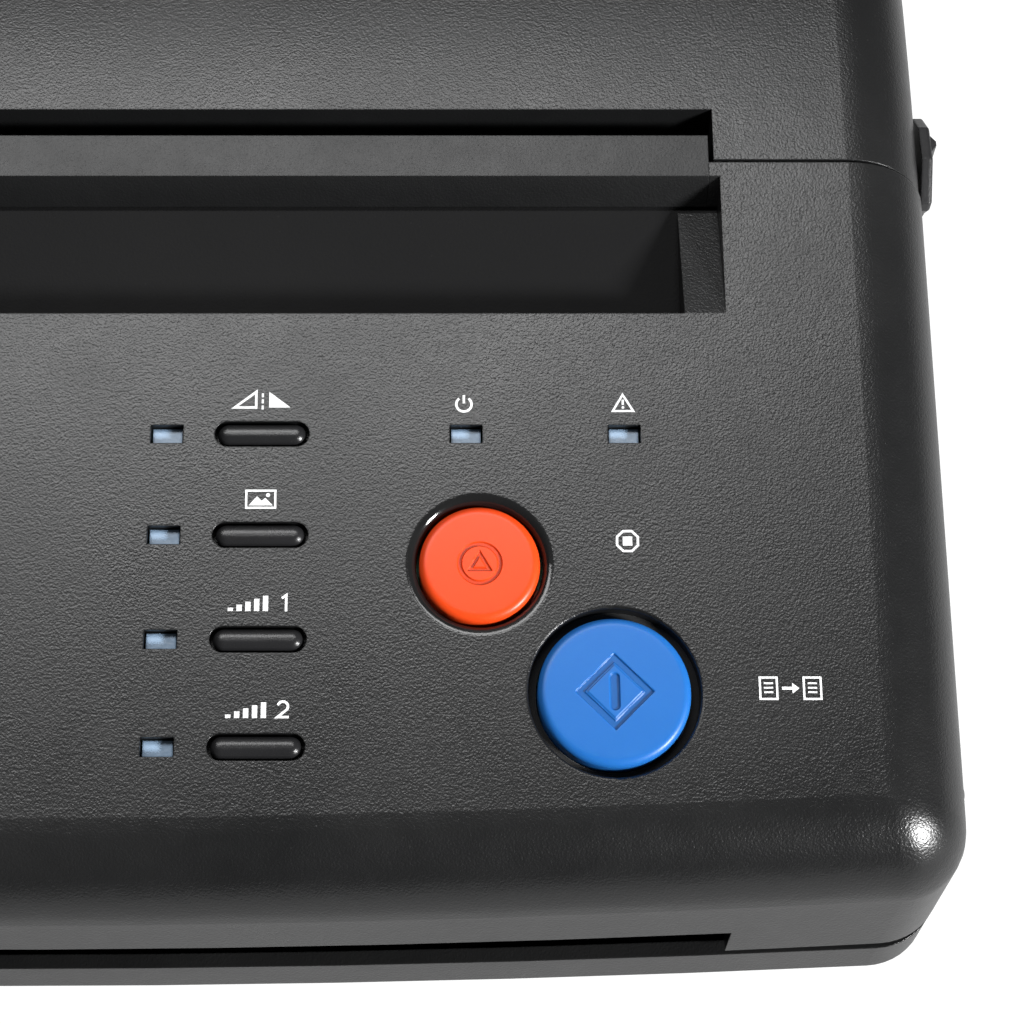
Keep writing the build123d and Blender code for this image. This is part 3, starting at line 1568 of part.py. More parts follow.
def make_rocker():
    """Rocker of the mains switch, standing tilted with one end pressed in."""
    y, z = rocker_axis
    half = rocker_size[1] / 2
    outline = [
        (y - 3.0, z - 3.0),
        (y + 3.2, z - half),
        (y + 2.2, z),
        (y + 3.2, z + half),
        (y - 3.0, z + 3.0),
    ]
    tilted = [turned(point, rocker_axis, rocker_tilt) for point in outline]
    half_wide = rocker_size[0] / 2
    pin_half = half_wide + rocker_trunnion
    with BuildPart() as rocker:
        add(bar_x(tilted, switch_x - half_wide, switch_x + half_wide))
        add(rod(y, z, rocker_trunnion - running_fit, switch_x - pin_half, switch_x + pin_half))
    save(rocker.part, "power_rocker")


def main():
    os.makedirs("parts", exist_ok=True)
    make_base()
    make_feet()
    make_front_cover()
    make_rear_cover()
    make_head()
    make_rollers()
    make_gears()
    make_motors()
    make_chassis()
    make_hinge_arms()
    make_screws()
    make_document_guide()
    make_sensor()
    make_stencil_guide()
    make_upper_guide()
    make_pinch_rollers()
    make_keys()
    make_caps()
    make_panel_electronics()
    make_latch()
    make_boards()
    make_inlet()
    make_switch_housing()
    make_rocker()


main()
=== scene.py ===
import json
import math

import bpy
import numpy as np
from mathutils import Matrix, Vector
from mathutils.geometry import tessellate_polygon


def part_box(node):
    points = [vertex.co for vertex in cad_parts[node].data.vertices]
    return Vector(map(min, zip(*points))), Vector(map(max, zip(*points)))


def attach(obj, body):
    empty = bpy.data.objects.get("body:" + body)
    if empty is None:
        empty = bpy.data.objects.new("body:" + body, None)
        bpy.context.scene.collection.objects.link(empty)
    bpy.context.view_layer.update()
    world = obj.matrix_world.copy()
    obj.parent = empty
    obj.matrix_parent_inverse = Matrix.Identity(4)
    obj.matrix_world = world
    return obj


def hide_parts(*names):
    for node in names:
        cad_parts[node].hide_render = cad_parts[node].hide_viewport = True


# Desktop thermal stencil copier: finishes, engraved caps, printed marks, stage and camera.
# Metres, +X right, +Y to the rear, +Z up. Sizes on the control panel are in millimetres.

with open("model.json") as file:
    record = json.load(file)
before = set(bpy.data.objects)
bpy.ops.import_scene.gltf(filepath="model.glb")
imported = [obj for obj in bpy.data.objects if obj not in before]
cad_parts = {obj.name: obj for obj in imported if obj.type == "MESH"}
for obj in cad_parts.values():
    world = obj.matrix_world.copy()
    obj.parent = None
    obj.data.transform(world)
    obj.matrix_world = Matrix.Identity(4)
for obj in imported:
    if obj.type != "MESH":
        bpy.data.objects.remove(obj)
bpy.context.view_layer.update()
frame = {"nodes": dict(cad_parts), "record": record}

MM = 0.001
PANEL_SLOPE = math.radians(10.0)
PANEL_Y = -44.8
PANEL_Z = 54.0

STOP_AT = (75.7, -7.8)
STOP_RADIUS = 8.7
STOP_HOLE = 9.15
COPY_AT = (94.6, -26.65)
COPY_RADIUS = 10.85
COPY_HOLE = 12.25
CAP_RISE = 0.3
CAP_SKIRT = 5.6
CAP_WALL = 1.6
CAP_ROOF = -1.5
CAP_EDGE = 1.0
STEM_RADIUS = 1.6
STEM_END = -4.7
LUG_REACH = 1.2
LUG_WIDTH = 4.0
LUG_TOP = -4.85
# Black ring of painted shade in the COPY cap's sleeve: its top, its bottom and its gap to the cap.
SHADE_RING_TOP = -2.7
SHADE_RING_BOTTOM = -4.4
SHADE_RING_GAP = 0.2
STOP_DISH = 10.6

PRINT_LIFT = 0.015
PRINT_THICKNESS = 0.035

# Stage, in metres: the floor's half width, how far it lies below the feet, and how bright
# it is to the camera, under the shadow and to the machine itself.
FLOOR_REACH = 40.0
FLOOR_DROP = 0.0003
FLOOR_GLOW = 0.88
FLOOR_SHADOW = 0.2
FLOOR_PLAIN = 0.22
WORLD_STRENGTH = 0.08

# The middle of what the lamps light. Then each softbox: name, shift along the machine's
# width, way to the lamp, distance, width and height, and brightness of its face.
LIT_MIDDLE = (0.06, -0.04, 0.05)
SOFTBOXES = (
    ("high_softbox", -0.31, (0.0, 0.31, 0.95), 1.3, (1.3, 0.32), 9.4),
    ("rear_softbox", -0.38, (0.0, 0.75, 0.66), 1.3, (1.2, 0.4), 0.4),
    ("side_softbox", 0.0, (0.756, -0.524, 0.402), 1.1, (0.21, 0.21), 170.0),
)

# Camera: sensor and lens in millimetres, place in metres, tilt from straight down.
SENSOR = 36.0
LENS = 84.375
LENS_SHIFT = 0.0996
CAMERA_AT = (0.0657, -0.2076, 0.3602)
CAMERA_TILT = math.radians(28.0)


def on_panel(x, v, h=0.0):
    """A point in metres from panel millimetres: across, up the slope, and above the face."""
    c = math.cos(PANEL_SLOPE)
    s = math.sin(PANEL_SLOPE)
    return Vector((x, PANEL_Y + v * c - h * s, PANEL_Z + v * s + h * c)) * MM


# ---- node tools -------------------------------------------------------------------------

SOCKET_KINDS = {
    "number": "NodeSocketFloat",
    "colour": "NodeSocketColor",
    "vector": "NodeSocketVector",
}


class Wiring:
    """Adds nodes to one tree and joins them by socket."""

    def __init__(self, tree):
        self.tree = tree

    def add(self, kind, values=None, **settings):
        node = self.tree.nodes.new(kind)
        for name, value in settings.items():
            setattr(node, name, value)
        for name, value in (values or {}).items():
            self.set(node.inputs[name], value)
        return node

    def set(self, socket, value):
        if isinstance(value, bpy.types.NodeSocket):
            self.tree.links.new(value, socket)
        else:
            socket.default_value = value

    def math(self, operation, a, b=0.0, clamp=False):
        node = self.add("ShaderNodeMath", {0: a, 1: b}, operation=operation)
        node.use_clamp = clamp
        return node.outputs[0]

    def span(self, value, low, high, to_low=0.0, to_high=1.0):
        values = {"Value": value, "From Min": low, "From Max": high}
        values.update({"To Min": to_low, "To Max": to_high})
        return self.add("ShaderNodeMapRange", values).outputs["Result"]

    def blend(self, factor, a, b, mode="MIX"):
        node = self.add("ShaderNodeMix", data_type="RGBA", blend_type=mode)
        self.set(node.inputs["Factor"], factor)
        self.set(node.inputs[6], a)
        self.set(node.inputs[7], b)
        return node.outputs[2]

    def noise(self, place, scale, detail=2.0, roughness=0.5, distortion=0.0):
        values = {"Vector": place, "Scale": scale, "Detail": detail}
        values.update({"Roughness": roughness, "Distortion": distortion})
        return self.add("ShaderNodeTexNoise", values)

    def position(self):
        return self.add("ShaderNodeTexCoord").outputs["Object"]

    def scaled(self, place, by):
        node = self.add("ShaderNodeVectorMath", {0: place}, operation="MULTIPLY")
        self.set(node.inputs[1], by)
        return node.outputs["Vector"]


def new_group(name, inputs, outputs):
    """An empty shader node group with named sockets, as (wiring, input node, output node)."""
    tree = bpy.data.node_groups.new(name, "ShaderNodeTree")
    for label, kind, value in inputs:
        socket = tree.interface.new_socket(
            name=label, in_out="INPUT", socket_type=SOCKET_KINDS[kind]
        )
        socket.default_value = value
    for label, kind in outputs:
        tree.interface.new_socket(name=label, in_out="OUTPUT", socket_type=SOCKET_KINDS[kind])
    wiring = Wiring(tree)
    return wiring, wiring.add("NodeGroupInput"), wiring.add("NodeGroupOutput")


def make_grain_group():
    """Leathery moulded grain: fine irregular wrinkles with small pits between them."""
    inputs = [("Size", "number", 0.0006), ("Wander", "number", 0.6)]
    w, given, out = new_group("Moulded grain", inputs, [("Height", "number"), ("Pits", "number")])
    scale = w.math("DIVIDE", 1.0, given.outputs["Size"])
    place = w.position()
    wrinkle = w.noise(place, scale, 1.0, 0.5, given.outputs["Wander"])
    cells = w.add(
        "ShaderNodeTexVoronoi",
        {"Vector": place, "Scale": w.math("MULTIPLY", scale, 1.25)},
        feature="F1",
    )
    pits = w.span(cells.outputs["Distance"], 0.15, 0.75)
    height = w.math("MULTIPLY", wrinkle.outputs["Fac"], 0.75)
    height = w.math("SUBTRACT", height, w.math("MULTIPLY", pits, 0.25))
    w.set(out.inputs["Height"], height)
    w.set(out.inputs["Pits"], pits)
    return w.tree


def make_mottle_group():
    """Slow unevenness of tone and gloss over a surface."""
    inputs = [
        ("Colour", "colour", (0.5, 0.5, 0.5, 1.0)),
        ("Spread", "number", 0.15),
        ("Size", "number", 0.02),
        ("Roughness", "number", 0.5),
        ("Roughness spread", "number", 0.08),
    ]
    outputs = [("Colour", "colour"), ("Roughness", "number"), ("Patches", "number")]
    w, given, out = new_group("Uneven tone", inputs, outputs)
    place = w.position()
    scale = w.math("DIVIDE", 1.0, given.outputs["Size"])
    slow = w.noise(place, scale, 2.0, 0.55, 0.3)
    fine = w.noise(place, w.math("MULTIPLY", scale, 9.0), 1.0, 0.6)
    patches = w.math(
        "ADD",
        w.math("MULTIPLY", slow.outputs["Fac"], 0.7),
        w.math("MULTIPLY", fine.outputs["Fac"], 0.3),
    )
    centred = w.math("SUBTRACT", w.span(patches, 0.3, 0.7), 0.5)
    factor = w.math("ADD", 1.0, w.math("MULTIPLY", centred, given.outputs["Spread"]))
    tone = w.add("ShaderNodeVectorMath", {0: given.outputs["Colour"]}, operation="SCALE")
    w.set(tone.inputs["Scale"], factor)
    w.set(out.inputs["Colour"], tone.outputs["Vector"])
    shift = w.math("MULTIPLY", centred, given.outputs["Roughness spread"])
    w.set(out.inputs["Roughness"], w.math("ADD", given.outputs["Roughness"], shift, clamp=True))
    w.set(out.inputs["Patches"], centred)
    return w.tree


def make_edge_group():
    """Softened edges, and a broken mask of where hands and tools rub them."""
    inputs = [("Radius", "number", 0.0004), ("Breaks", "number", 0.004)]
    w, given, out = new_group("Handled edges", inputs, [("Normal", "vector"), ("Wear", "number")])
    bevel = w.add("ShaderNodeBevel", {"Radius": given.outputs["Radius"]}, samples=4)
    facing = w.add("ShaderNodeNewGeometry").outputs["Normal"]
    dot = w.add(
        "ShaderNodeVectorMath", {0: bevel.outputs["Normal"], 1: facing}, operation="DOT_PRODUCT"
    )
    turn = w.span(w.math("SUBTRACT", 1.0, dot.outputs["Value"]), 0.01, 0.16)
    scale = w.math("DIVIDE", 1.0, given.outputs["Breaks"])
    breaks = w.span(w.noise(w.position(), scale, 2.0, 0.65).outputs["Fac"], 0.42, 0.66)
    w.set(out.inputs["Normal"], bevel.outputs["Normal"])
    w.set(out.inputs["Wear"], w.math("MULTIPLY", turn, breaks, clamp=True))
    return w.tree


def make_dust_group():
    """Sparse pale specks and a thin haze on surfaces that face up."""
    inputs = [("Amount", "number", 0.04), ("Size", "number", 0.0012)]
    w, given, out = new_group("Settled dust", inputs, [("Dust", "number")])
    place = w.position()
    scale = w.math("DIVIDE", 1.0, given.outputs["Size"])
    cells = w.add("ShaderNodeTexVoronoi", {"Vector": place, "Scale": scale}, feature="F1")
    specks = w.span(cells.outputs["Distance"], 0.16, 0.05)
    rare = w.span(w.noise(place, w.math("MULTIPLY", scale, 0.3), 2.0).outputs["Fac"], 0.6, 0.7)
    haze = w.span(w.noise(place, w.math("MULTIPLY", scale, 0.03), 3.0).outputs["Fac"], 0.4, 0.75)
    up = w.add("ShaderNodeSeparateXYZ", {0: w.add("ShaderNodeNewGeometry").outputs["Normal"]})
    level = w.span(up.outputs["Z"], 0.5, 0.95)
    both = w.math("ADD", w.math("MULTIPLY", specks, rare), w.math("MULTIPLY", haze, 0.35))
    dust = w.math("MULTIPLY", w.math("MULTIPLY", both, level), given.outputs["Amount"], clamp=True)
    w.set(out.inputs["Dust"], dust)
    return w.tree


def make_drawn_group():
    """Fine parallel lines of drawn, turned or brushed metal."""
    inputs = [("Across", "vector", (1.0, 1.0, 1.0)), ("Pitch", "number", 0.0003)]
    w, given, out = new_group("Drawn lines", inputs, [("Height", "number"), ("Streak", "number")])
    place = w.scaled(w.position(), given.outputs["Across"])
    scale = w.math("DIVIDE", 1.0, given.outputs["Pitch"])
    lines = w.noise(place, scale, 3.0, 0.6)
    broad = w.noise(place, w.math("MULTIPLY", scale, 0.12), 2.0)
    w.set(out.inputs["Height"], lines.outputs["Fac"])
    mixed = w.math(
        "ADD",
        w.math("MULTIPLY", lines.outputs["Fac"], 0.5),
        w.math("MULTIPLY", broad.outputs["Fac"], 0.5),
    )
    w.set(out.inputs["Streak"], w.span(mixed, 0.3, 0.7))
    return w.tree


def make_round_group():
    """Distance from an axis square to the control panel, for smooth places round a button."""
    inputs = [
        ("Centre", "vector", (0.0, 0.0, 0.0)),
        ("Radius", "number", 0.01),
        ("Edge", "number", 0.0002),
    ]
    w, given, out = new_group("Round place", inputs, [("Inside", "number")])
    away = w.add(
        "ShaderNodeVectorMath", {0: w.position(), 1: given.outputs["Centre"]}, operation="SUBTRACT"
    )
    upright = (0.0, -math.sin(PANEL_SLOPE), math.cos(PANEL_SLOPE))
    turned = w.add(
        "ShaderNodeVectorMath", {0: away.outputs["Vector"], 1: upright}, operation="CROSS_PRODUCT"
    )
    reach = w.add("ShaderNodeVectorMath", {0: turned.outputs["Vector"]}, operation="LENGTH")
    outer = w.math("ADD", given.outputs["Radius"], given.outputs["Edge"])
    w.set(out.inputs["Inside"], w.span(reach.outputs["Value"], outer, given.outputs["Radius"]))
    return w.tree


def make_board_group():
    """Copper tracks and pads showing through a solder mask."""
    inputs = [("Pitch", "number", 0.0026)]
    w, given, out = new_group("Board tracks", inputs, [("Track", "number"), ("Pad", "number")])
    scale = w.math("DIVIDE", 1.0, given.outputs["Pitch"])
    place = w.position()
    grid = w.add("ShaderNodeTexVoronoi", {"Vector": place, "Scale": scale, "Randomness": 0.35})
    grid.distance = "CHEBYCHEV"
    tone = w.add("ShaderNodeSeparateColor", {0: grid.outputs["Color"]})
    pad = w.span(grid.outputs["Distance"], 0.17, 0.13)
    pad = w.math("MULTIPLY", pad, w.span(tone.outputs[0], 0.66, 0.7))
    runs = w.add("ShaderNodeTexBrick", {"Vector": w.scaled(place, (1.0, 1.0, 0.0)), "Scale": 1.0})
    runs.offset = 0.37
    w.set(runs.inputs["Brick Width"], w.math("MULTIPLY", given.outputs["Pitch"], 3.1))
    w.set(runs.inputs["Row Height"], w.math("MULTIPLY", given.outputs["Pitch"], 0.8))
    w.set(runs.inputs["Mortar Size"], w.math("MULTIPLY", given.outputs["Pitch"], 0.1))
    w.set(runs.inputs["Mortar Smooth"], 0.1)
    w.set(out.inputs["Track"], runs.outputs["Fac"])
    w.set(out.inputs["Pad"], pad)
    return w.tree


GRAIN = make_grain_group()
MOTTLE = make_mottle_group()
EDGES = make_edge_group()
DUST = make_dust_group()
DRAWN = make_drawn_group()
BOARD = make_board_group()
ROUND = make_round_group()


def rgba(colour):
    return (colour[0], colour[1], colour[2], 1.0)


def start_material(name, **constants):
    """A node material holding one Principled surface, as (wiring, surface)."""
    material = bpy.data.materials.new(name)
    material.use_nodes = True
    material.node_tree.nodes.clear()
    w = Wiring(material.node_tree)
    surface = w.add("ShaderNodeBsdfPrincipled")
    out = w.add("ShaderNodeOutputMaterial")
    w.set(out.inputs["Surface"], surface.outputs[0])
    for label, value in constants.items():
        surface.inputs[label.replace("_", " ")].default_value = value
    return w, surface, material


def place_group(w, group, values):
    node = w.add("ShaderNodeGroup")
    node.node_tree = group
    for name, value in values.items():
        w.set(node.inputs[name], value)
    return node


def bumped(w, surface, height, distance, strength=1.0, base=None):
    node = w.add("ShaderNodeBump", {"Height": height, "Distance": distance, "Strength": strength})
    if base is not None:
        w.set(node.inputs["Normal"], base)
    w.set(surface.inputs["Normal"], node.outputs["Normal"])


def moulded(
    name,
    colour,
    roughness,
    grain=0.0006,
    depth=0.00006,
    edge=0.0004,
    rub=0.35,
    dust=0.02,
    polished=None,
    **constants,
):
    """A moulded plastic with its grain, uneven gloss, rubbed edges and a little dust."""
    w, surface, material = start_material(name, **constants)
    tone = place_group(
        w, MOTTLE, {"Colour": rgba(colour), "Spread": 0.16, "Size": 0.03, "Roughness": roughness}
    )
    wrinkles = place_group(w, GRAIN, {"Size": grain, "Wander": 0.6})
    edges = place_group(w, EDGES, {"Radius": edge})
    specks = place_group(w, DUST, {"Amount": dust})
    height = wrinkles.outputs["Height"]
    pale = tuple(min(1.0, c * 1.6 + 0.02) for c in colour)
    worn = w.math("MULTIPLY", edges.outputs["Wear"], rub)
    base = w.blend(worn, tone.outputs["Colour"], rgba(pale))
    # Painted shade: the grain's pits are darkened in the base colour.
    painted_pit_shade = w.math("MULTIPLY", wrinkles.outputs["Pits"], 0.18)
    base = w.blend(painted_pit_shade, base, rgba(tuple(c * 0.6 for c in colour)))
    base = w.blend(specks.outputs["Dust"], base, (0.62, 0.6, 0.57, 1.0))
    w.set(surface.inputs["Base Color"], base)
    gloss = w.math("SUBTRACT", tone.outputs["Roughness"], w.math("MULTIPLY", worn, 0.12))
    gloss = w.math("ADD", gloss, w.math("MULTIPLY", specks.outputs["Dust"], 0.3), clamp=True)
    if polished:
        place = place_group(
            w, ROUND, {"Centre": tuple(on_panel(*polished[0])), "Radius": polished[1] * MM}
        )
        inside = place.outputs["Inside"]
        gloss = w.math("SUBTRACT", gloss, w.math("MULTIPLY", inside, polished[2]), clamp=True)
        height = w.math(
            "MULTIPLY", height, w.math("SUBTRACT", 1.0, w.math("MULTIPLY", inside, 0.85))
        )
    w.set(surface.inputs["Roughness"], gloss)
    bumped(w, surface, height, depth, base=edges.outputs["Normal"])
    return material


def rubber(name, colour, roughness, grain=0.0004, depth=0.00004, dust=0.12):
    """Soft rubber with a fine ground surface and paper dust on it."""
    w, surface, material = start_material(name)
    surface.inputs["Sheen Weight"].default_value = 0.15
    surface.inputs["Sheen Roughness"].default_value = 0.5
    tone = place_group(
        w, MOTTLE, {"Colour": rgba(colour), "Spread": 0.3, "Size": 0.012, "Roughness": roughness}
    )
    ground = place_group(w, GRAIN, {"Size": grain, "Wander": 0.2})
    specks = place_group(w, DUST, {"Amount": dust, "Size": 0.0007})
    edges = place_group(w, EDGES, {"Radius": 0.0003})
    base = w.blend(specks.outputs["Dust"], tone.outputs["Colour"], (0.6, 0.6, 0.58, 1.0))
    base = w.blend(
        w.math("MULTIPLY", edges.outputs["Wear"], 0.25),
        base,
        rgba(tuple(min(1, c * 2.2 + 0.02) for c in colour)),
    )
    w.set(surface.inputs["Base Color"], base)
    w.set(surface.inputs["Roughness"], tone.outputs["Roughness"])
    bumped(w, surface, ground.outputs["Height"], depth, base=edges.outputs["Normal"])
    return material


def metal(
    name,
    colour,
    roughness,
    across=(1.0, 1.0, 1.0),
    pitch=0.0003,
    depth=0.000012,
    spread=0.22,
    stain=0.25,
):
    """A metal with its lines, patchy tone and brighter edges."""
    w, surface, material = start_material(name)
    tone = place_group(
        w, MOTTLE, {
            "Colour": rgba(colour),
            "Spread": spread,
            "Size": 0.014,
            "Roughness": roughness,
            "Roughness spread": 0.2,
        }
    )
    lines = place_group(w, DRAWN, {"Across": across, "Pitch": pitch})
    edges = place_group(w, EDGES, {"Radius": 0.00025})
    dull = rgba(tuple(c * 0.62 for c in colour))
    streak = w.math("MULTIPLY", lines.outputs["Streak"], stain)
    base = w.blend(streak, tone.outputs["Colour"], dull)
    base = w.blend(
        w.math("MULTIPLY", edges.outputs["Wear"], 0.5),
        base,
        rgba(tuple(min(1.0, c * 1.25) for c in colour)),
    )
    w.set(surface.inputs["Base Color"], base)
    surface.inputs["Metallic"].default_value = 1.0
    w.set(
        surface.inputs["Roughness"],
        w.math("ADD", tone.outputs["Roughness"], w.math("MULTIPLY", streak, 0.35), clamp=True),
    )
    bumped(w, surface, lines.outputs["Height"], depth, base=edges.outputs["Normal"])
    return material


def cap_plastic(name, colour, roughness, glow):
    """Smooth coloured cap plastic: light enters it, its edges glow a little, and its engraved
    grooves get painted shade.
    """
    w, surface, material = start_material(name)
    surface.inputs["Subsurface Weight"].default_value = 0.12
    surface.inputs["Subsurface Radius"].default_value = glow
    surface.inputs["Subsurface Scale"].default_value = 0.001
    surface.inputs["IOR"].default_value = 1.48
    surface.inputs["Specular IOR Level"].default_value = 0.34
    tone = place_group(
        w, MOTTLE, {
            "Colour": rgba(colour),
            "Spread": 0.05,
            "Size": 0.007,
            "Roughness": roughness,
            "Roughness spread": 0.06,
        }
    )
    skin = place_group(w, GRAIN, {"Size": 0.00035, "Wander": 0.2})
    edges = place_group(w, EDGES, {"Radius": 0.0002})
    worn = w.math("MULTIPLY", edges.outputs["Wear"], 0.12)
    base = w.blend(
        worn, tone.outputs["Colour"], rgba(tuple(min(1.0, c * 1.2 + 0.03) for c in colour))
    )
    sunk = w.add("ShaderNodeAttribute", attribute_name="sunk")
    # Painted shade: the cap colour is darkened by the depth of its engraved grooves.
    base = w.blend(
        w.math("MULTIPLY", sunk.outputs["Fac"], 0.55), base, rgba(tuple(c * 0.5 for c in colour))
    )
    w.set(surface.inputs["Base Color"], base)
    w.set(surface.inputs["Roughness"], tone.outputs["Roughness"])
    bumped(w, surface, skin.outputs["Height"], 0.000006)
    return material


def lamp_glass(name):
    """Milky light pipe: pale, cloudy, with painted shade darkening its rim where it meets its
    window.
    """
    w, surface, material = start_material(name)
    surface.inputs["Coat Weight"].default_value = 0.25
    surface.inputs["Coat Roughness"].default_value = 0.15
    tone = place_group(
        w, MOTTLE, {
            "Colour": (0.25, 0.36, 0.5, 1.0), "Spread": 0.24, "Size": 0.0016, "Roughness": 0.34
        }
    )
    edges = place_group(w, EDGES, {"Radius": 0.0005, "Breaks": 0.002})
    # Painted shade: the lens is darkened along its edges, where its window shades it.
    base = w.blend(
        w.math("MULTIPLY", edges.outputs["Wear"], 0.5),
        tone.outputs["Colour"],
        (0.12, 0.2, 0.34, 1.0),
    )
    w.set(surface.inputs["Base Color"], base)
    w.set(surface.inputs["Roughness"], tone.outputs["Roughness"])
    ripple = place_group(w, GRAIN, {"Size": 0.0009, "Wander": 0.3})
    bumped(w, surface, ripple.outputs["Height"], 0.00003, base=edges.outputs["Normal"])
    return material


def clear_glass(name):
    """Thin cover glass over the image sensor, with faint wipe marks."""
    w, surface, material = start_material(name)
    surface.inputs["Transmission Weight"].default_value = 0.85
    surface.inputs["IOR"].default_value = 1.5
    wipes = place_group(w, DRAWN, {"Across": (0.05, 1.0, 1.0), "Pitch": 0.002})
    tone = place_group(
        w,
        MOTTLE,
        {"Colour": (0.72, 0.84, 0.86, 1.0), "Spread": 0.1, "Size": 0.01, "Roughness": 0.04},
    )
    w.set(surface.inputs["Base Color"], tone.outputs["Colour"])
    smear = w.math("MULTIPLY", wipes.outputs["Streak"], 0.08)
    w.set(surface.inputs["Roughness"], w.math("ADD", tone.outputs["Roughness"], smear, clamp=True))
    bumped(w, surface, wipes.outputs["Height"], 0.000002)
    return material


def circuit_material(name, board_low, board_high, slope=0.0):
    """Green board between two heights, and dark moulded components above and below it."""
    w, surface, material = start_material(name)
    tracks = place_group(w, BOARD, {})
    tone = place_group(
        w,
        MOTTLE,
        {"Colour": (0.012, 0.15, 0.055, 1.0), "Spread": 0.3, "Size": 0.02, "Roughness": 0.32},
    )
    body = place_group(
        w,
        MOTTLE,
        {"Colour": (0.018, 0.018, 0.02, 1.0), "Spread": 0.35, "Size": 0.006, "Roughness": 0.5},
    )
    green = w.blend(
        w.math("MULTIPLY", tracks.outputs["Track"], 0.75),
        tone.outputs["Colour"],
        (0.02, 0.3, 0.11, 1.0),
    )
    green = w.blend(tracks.outputs["Pad"], green, (0.75, 0.73, 0.66, 1.0))
    parts = w.add("ShaderNodeSeparateXYZ", {0: w.position()})
    level = parts.outputs["Z"]
    if slope:
        level = w.math("SUBTRACT", level, w.math("MULTIPLY", parts.outputs["Y"], math.tan(slope)))
    over = w.math("GREATER_THAN", level, board_high)
    under = w.math("LESS_THAN", level, board_low)
    part = w.math("MAXIMUM", over, under)
    w.set(surface.inputs["Base Color"], w.blend(part, green, body.outputs["Colour"]))
    gloss = w.add(
        "ShaderNodeMix",
        {"Factor": part, 2: tone.outputs["Roughness"], 3: body.outputs["Roughness"]},
    )
    w.set(surface.inputs["Roughness"], gloss.outputs[0])
    fine = place_group(w, GRAIN, {"Size": 0.0003, "Wander": 0.1})
    edges = place_group(w, EDGES, {"Radius": 0.0002})
    height = w.math(
        "ADD",
        w.math("MULTIPLY", tracks.outputs["Track"], 0.8),
        w.math("MULTIPLY", fine.outputs["Height"], 0.3),
    )
    bumped(w, surface, height, 0.00004, base=edges.outputs["Normal"])
    return material


def head_material(name, low_y, high_y):
    """Ceramic print strip: pale body, dark glaze band and the bright line of heaters."""
    w, surface, material = start_material(name)
    tone = place_group(
        w, MOTTLE, {"Colour": (0.6, 0.5, 0.38, 1.0), "Spread": 0.12, "Size": 0.01, "Roughness": 0.3}
    )
    parts = w.add("ShaderNodeSeparateXYZ", {0: w.position()})
    across = w.span(parts.outputs["Y"], low_y, high_y)
    glaze = w.math("MULTIPLY", w.span(across, 0.3, 0.32), w.span(across, 0.7, 0.68))
    heater = w.math("MULTIPLY", w.span(across, 0.485, 0.495), w.span(across, 0.515, 0.505))
    fingers = w.add(
        "ShaderNodeTexWave",
        {"Vector": w.position(), "Scale": 900.0, "Distortion": 0.0},
        bands_direction="X",
    )
    dark = w.blend(
        w.math("MULTIPLY", fingers.outputs["Fac"], 0.35),
        (0.1, 0.07, 0.05, 1.0),
        (0.5, 0.36, 0.14, 1.0),
    )
    base = w.blend(glaze, tone.outputs["Colour"], dark)
    base = w.blend(heater, base, (0.7, 0.66, 0.56, 1.0))
    w.set(surface.inputs["Base Color"], base)
    w.set(
        surface.inputs["Roughness"],
        w.math("SUBTRACT", tone.outputs["Roughness"], w.math("MULTIPLY", glaze, 0.16)),
    )
    edges = place_group(w, EDGES, {"Radius": 0.0002})
    bumped(w, surface, glaze, 0.00003, base=edges.outputs["Normal"])
    return material


def printed_ink(name):
    """White pad-printed ink, slightly thin where it crosses the grain."""
    w, surface, material = start_material(name)
    tone = place_group(
        w,
        MOTTLE,
        {"Colour": (0.93, 0.935, 0.94, 1.0), "Spread": 0.05, "Size": 0.004, "Roughness": 0.45},
    )
    thin = place_group(w, GRAIN, {"Size": 0.0005, "Wander": 0.6})
    base = w.blend(
        w.math("MULTIPLY", thin.outputs["Pits"], 0.16),
        tone.outputs["Colour"],
        (0.3, 0.3, 0.31, 1.0),
    )
    w.set(surface.inputs["Base Color"], base)
    w.set(surface.inputs["Roughness"], tone.outputs["Roughness"])
    bumped(w, surface, thin.outputs["Height"], 0.00003)
    return material


case_black = moulded(
    "case_textured_black",
    (0.0085, 0.0087, 0.009),
    0.3,
    grain=0.00042,
    depth=0.000055,
    edge=0.0003,
    rub=0.25,
    polished=(STOP_AT, STOP_DISH, 0.18),
)
case_smooth = moulded(
    "ridge_satin_black",
    (0.0075, 0.0077, 0.008),
    0.38,
    grain=0.00042,
    depth=0.00004,
    edge=0.0002,
    rub=0.3,
    Specular_IOR_Level=0.4,
)
guide_black = moulded(
    "guide_fine_black",
    (0.006, 0.006, 0.0063),
    0.66,
    grain=0.0005,
    depth=0.00004,
    edge=0.0005,
    rub=0.3,
    dust=0.01,
    Specular_IOR_Level=0.14,
)
key_satin = moulded(
    "key_satin_black",
    (0.014, 0.014, 0.015),
    0.26,
    grain=0.0004,
    depth=0.000012,
    edge=0.0005,
    rub=0.25,
    dust=0.01,
)
lever_satin = moulded(
    "lever_satin_black",
    (0.016, 0.016, 0.017),
    0.3,
    grain=0.0005,
    depth=0.00002,
    edge=0.0005,
    rub=0.5,
)
switch_black = moulded(
    "switch_gloss_black",
    (0.014, 0.014, 0.014),
    0.24,
    grain=0.0004,
    depth=0.00001,
    edge=0.0004,
    rub=0.3,
)
tact_black = moulded(
    "tact_switch_black", (0.02, 0.02, 0.02), 0.4, grain=0.0003, depth=0.00001, edge=0.0002
)
bush_black = moulded(
    "bush_acetal_black", (0.05, 0.05, 0.052), 0.33, grain=0.0004, depth=0.00001, edge=0.0002
)
gear_white = moulded(
    "gear_natural_nylon",
    (0.74, 0.73, 0.66),
    0.4,
    grain=0.0004,
    depth=0.00001,
    edge=0.0002,
    rub=0.1,
    dust=0.1,
)
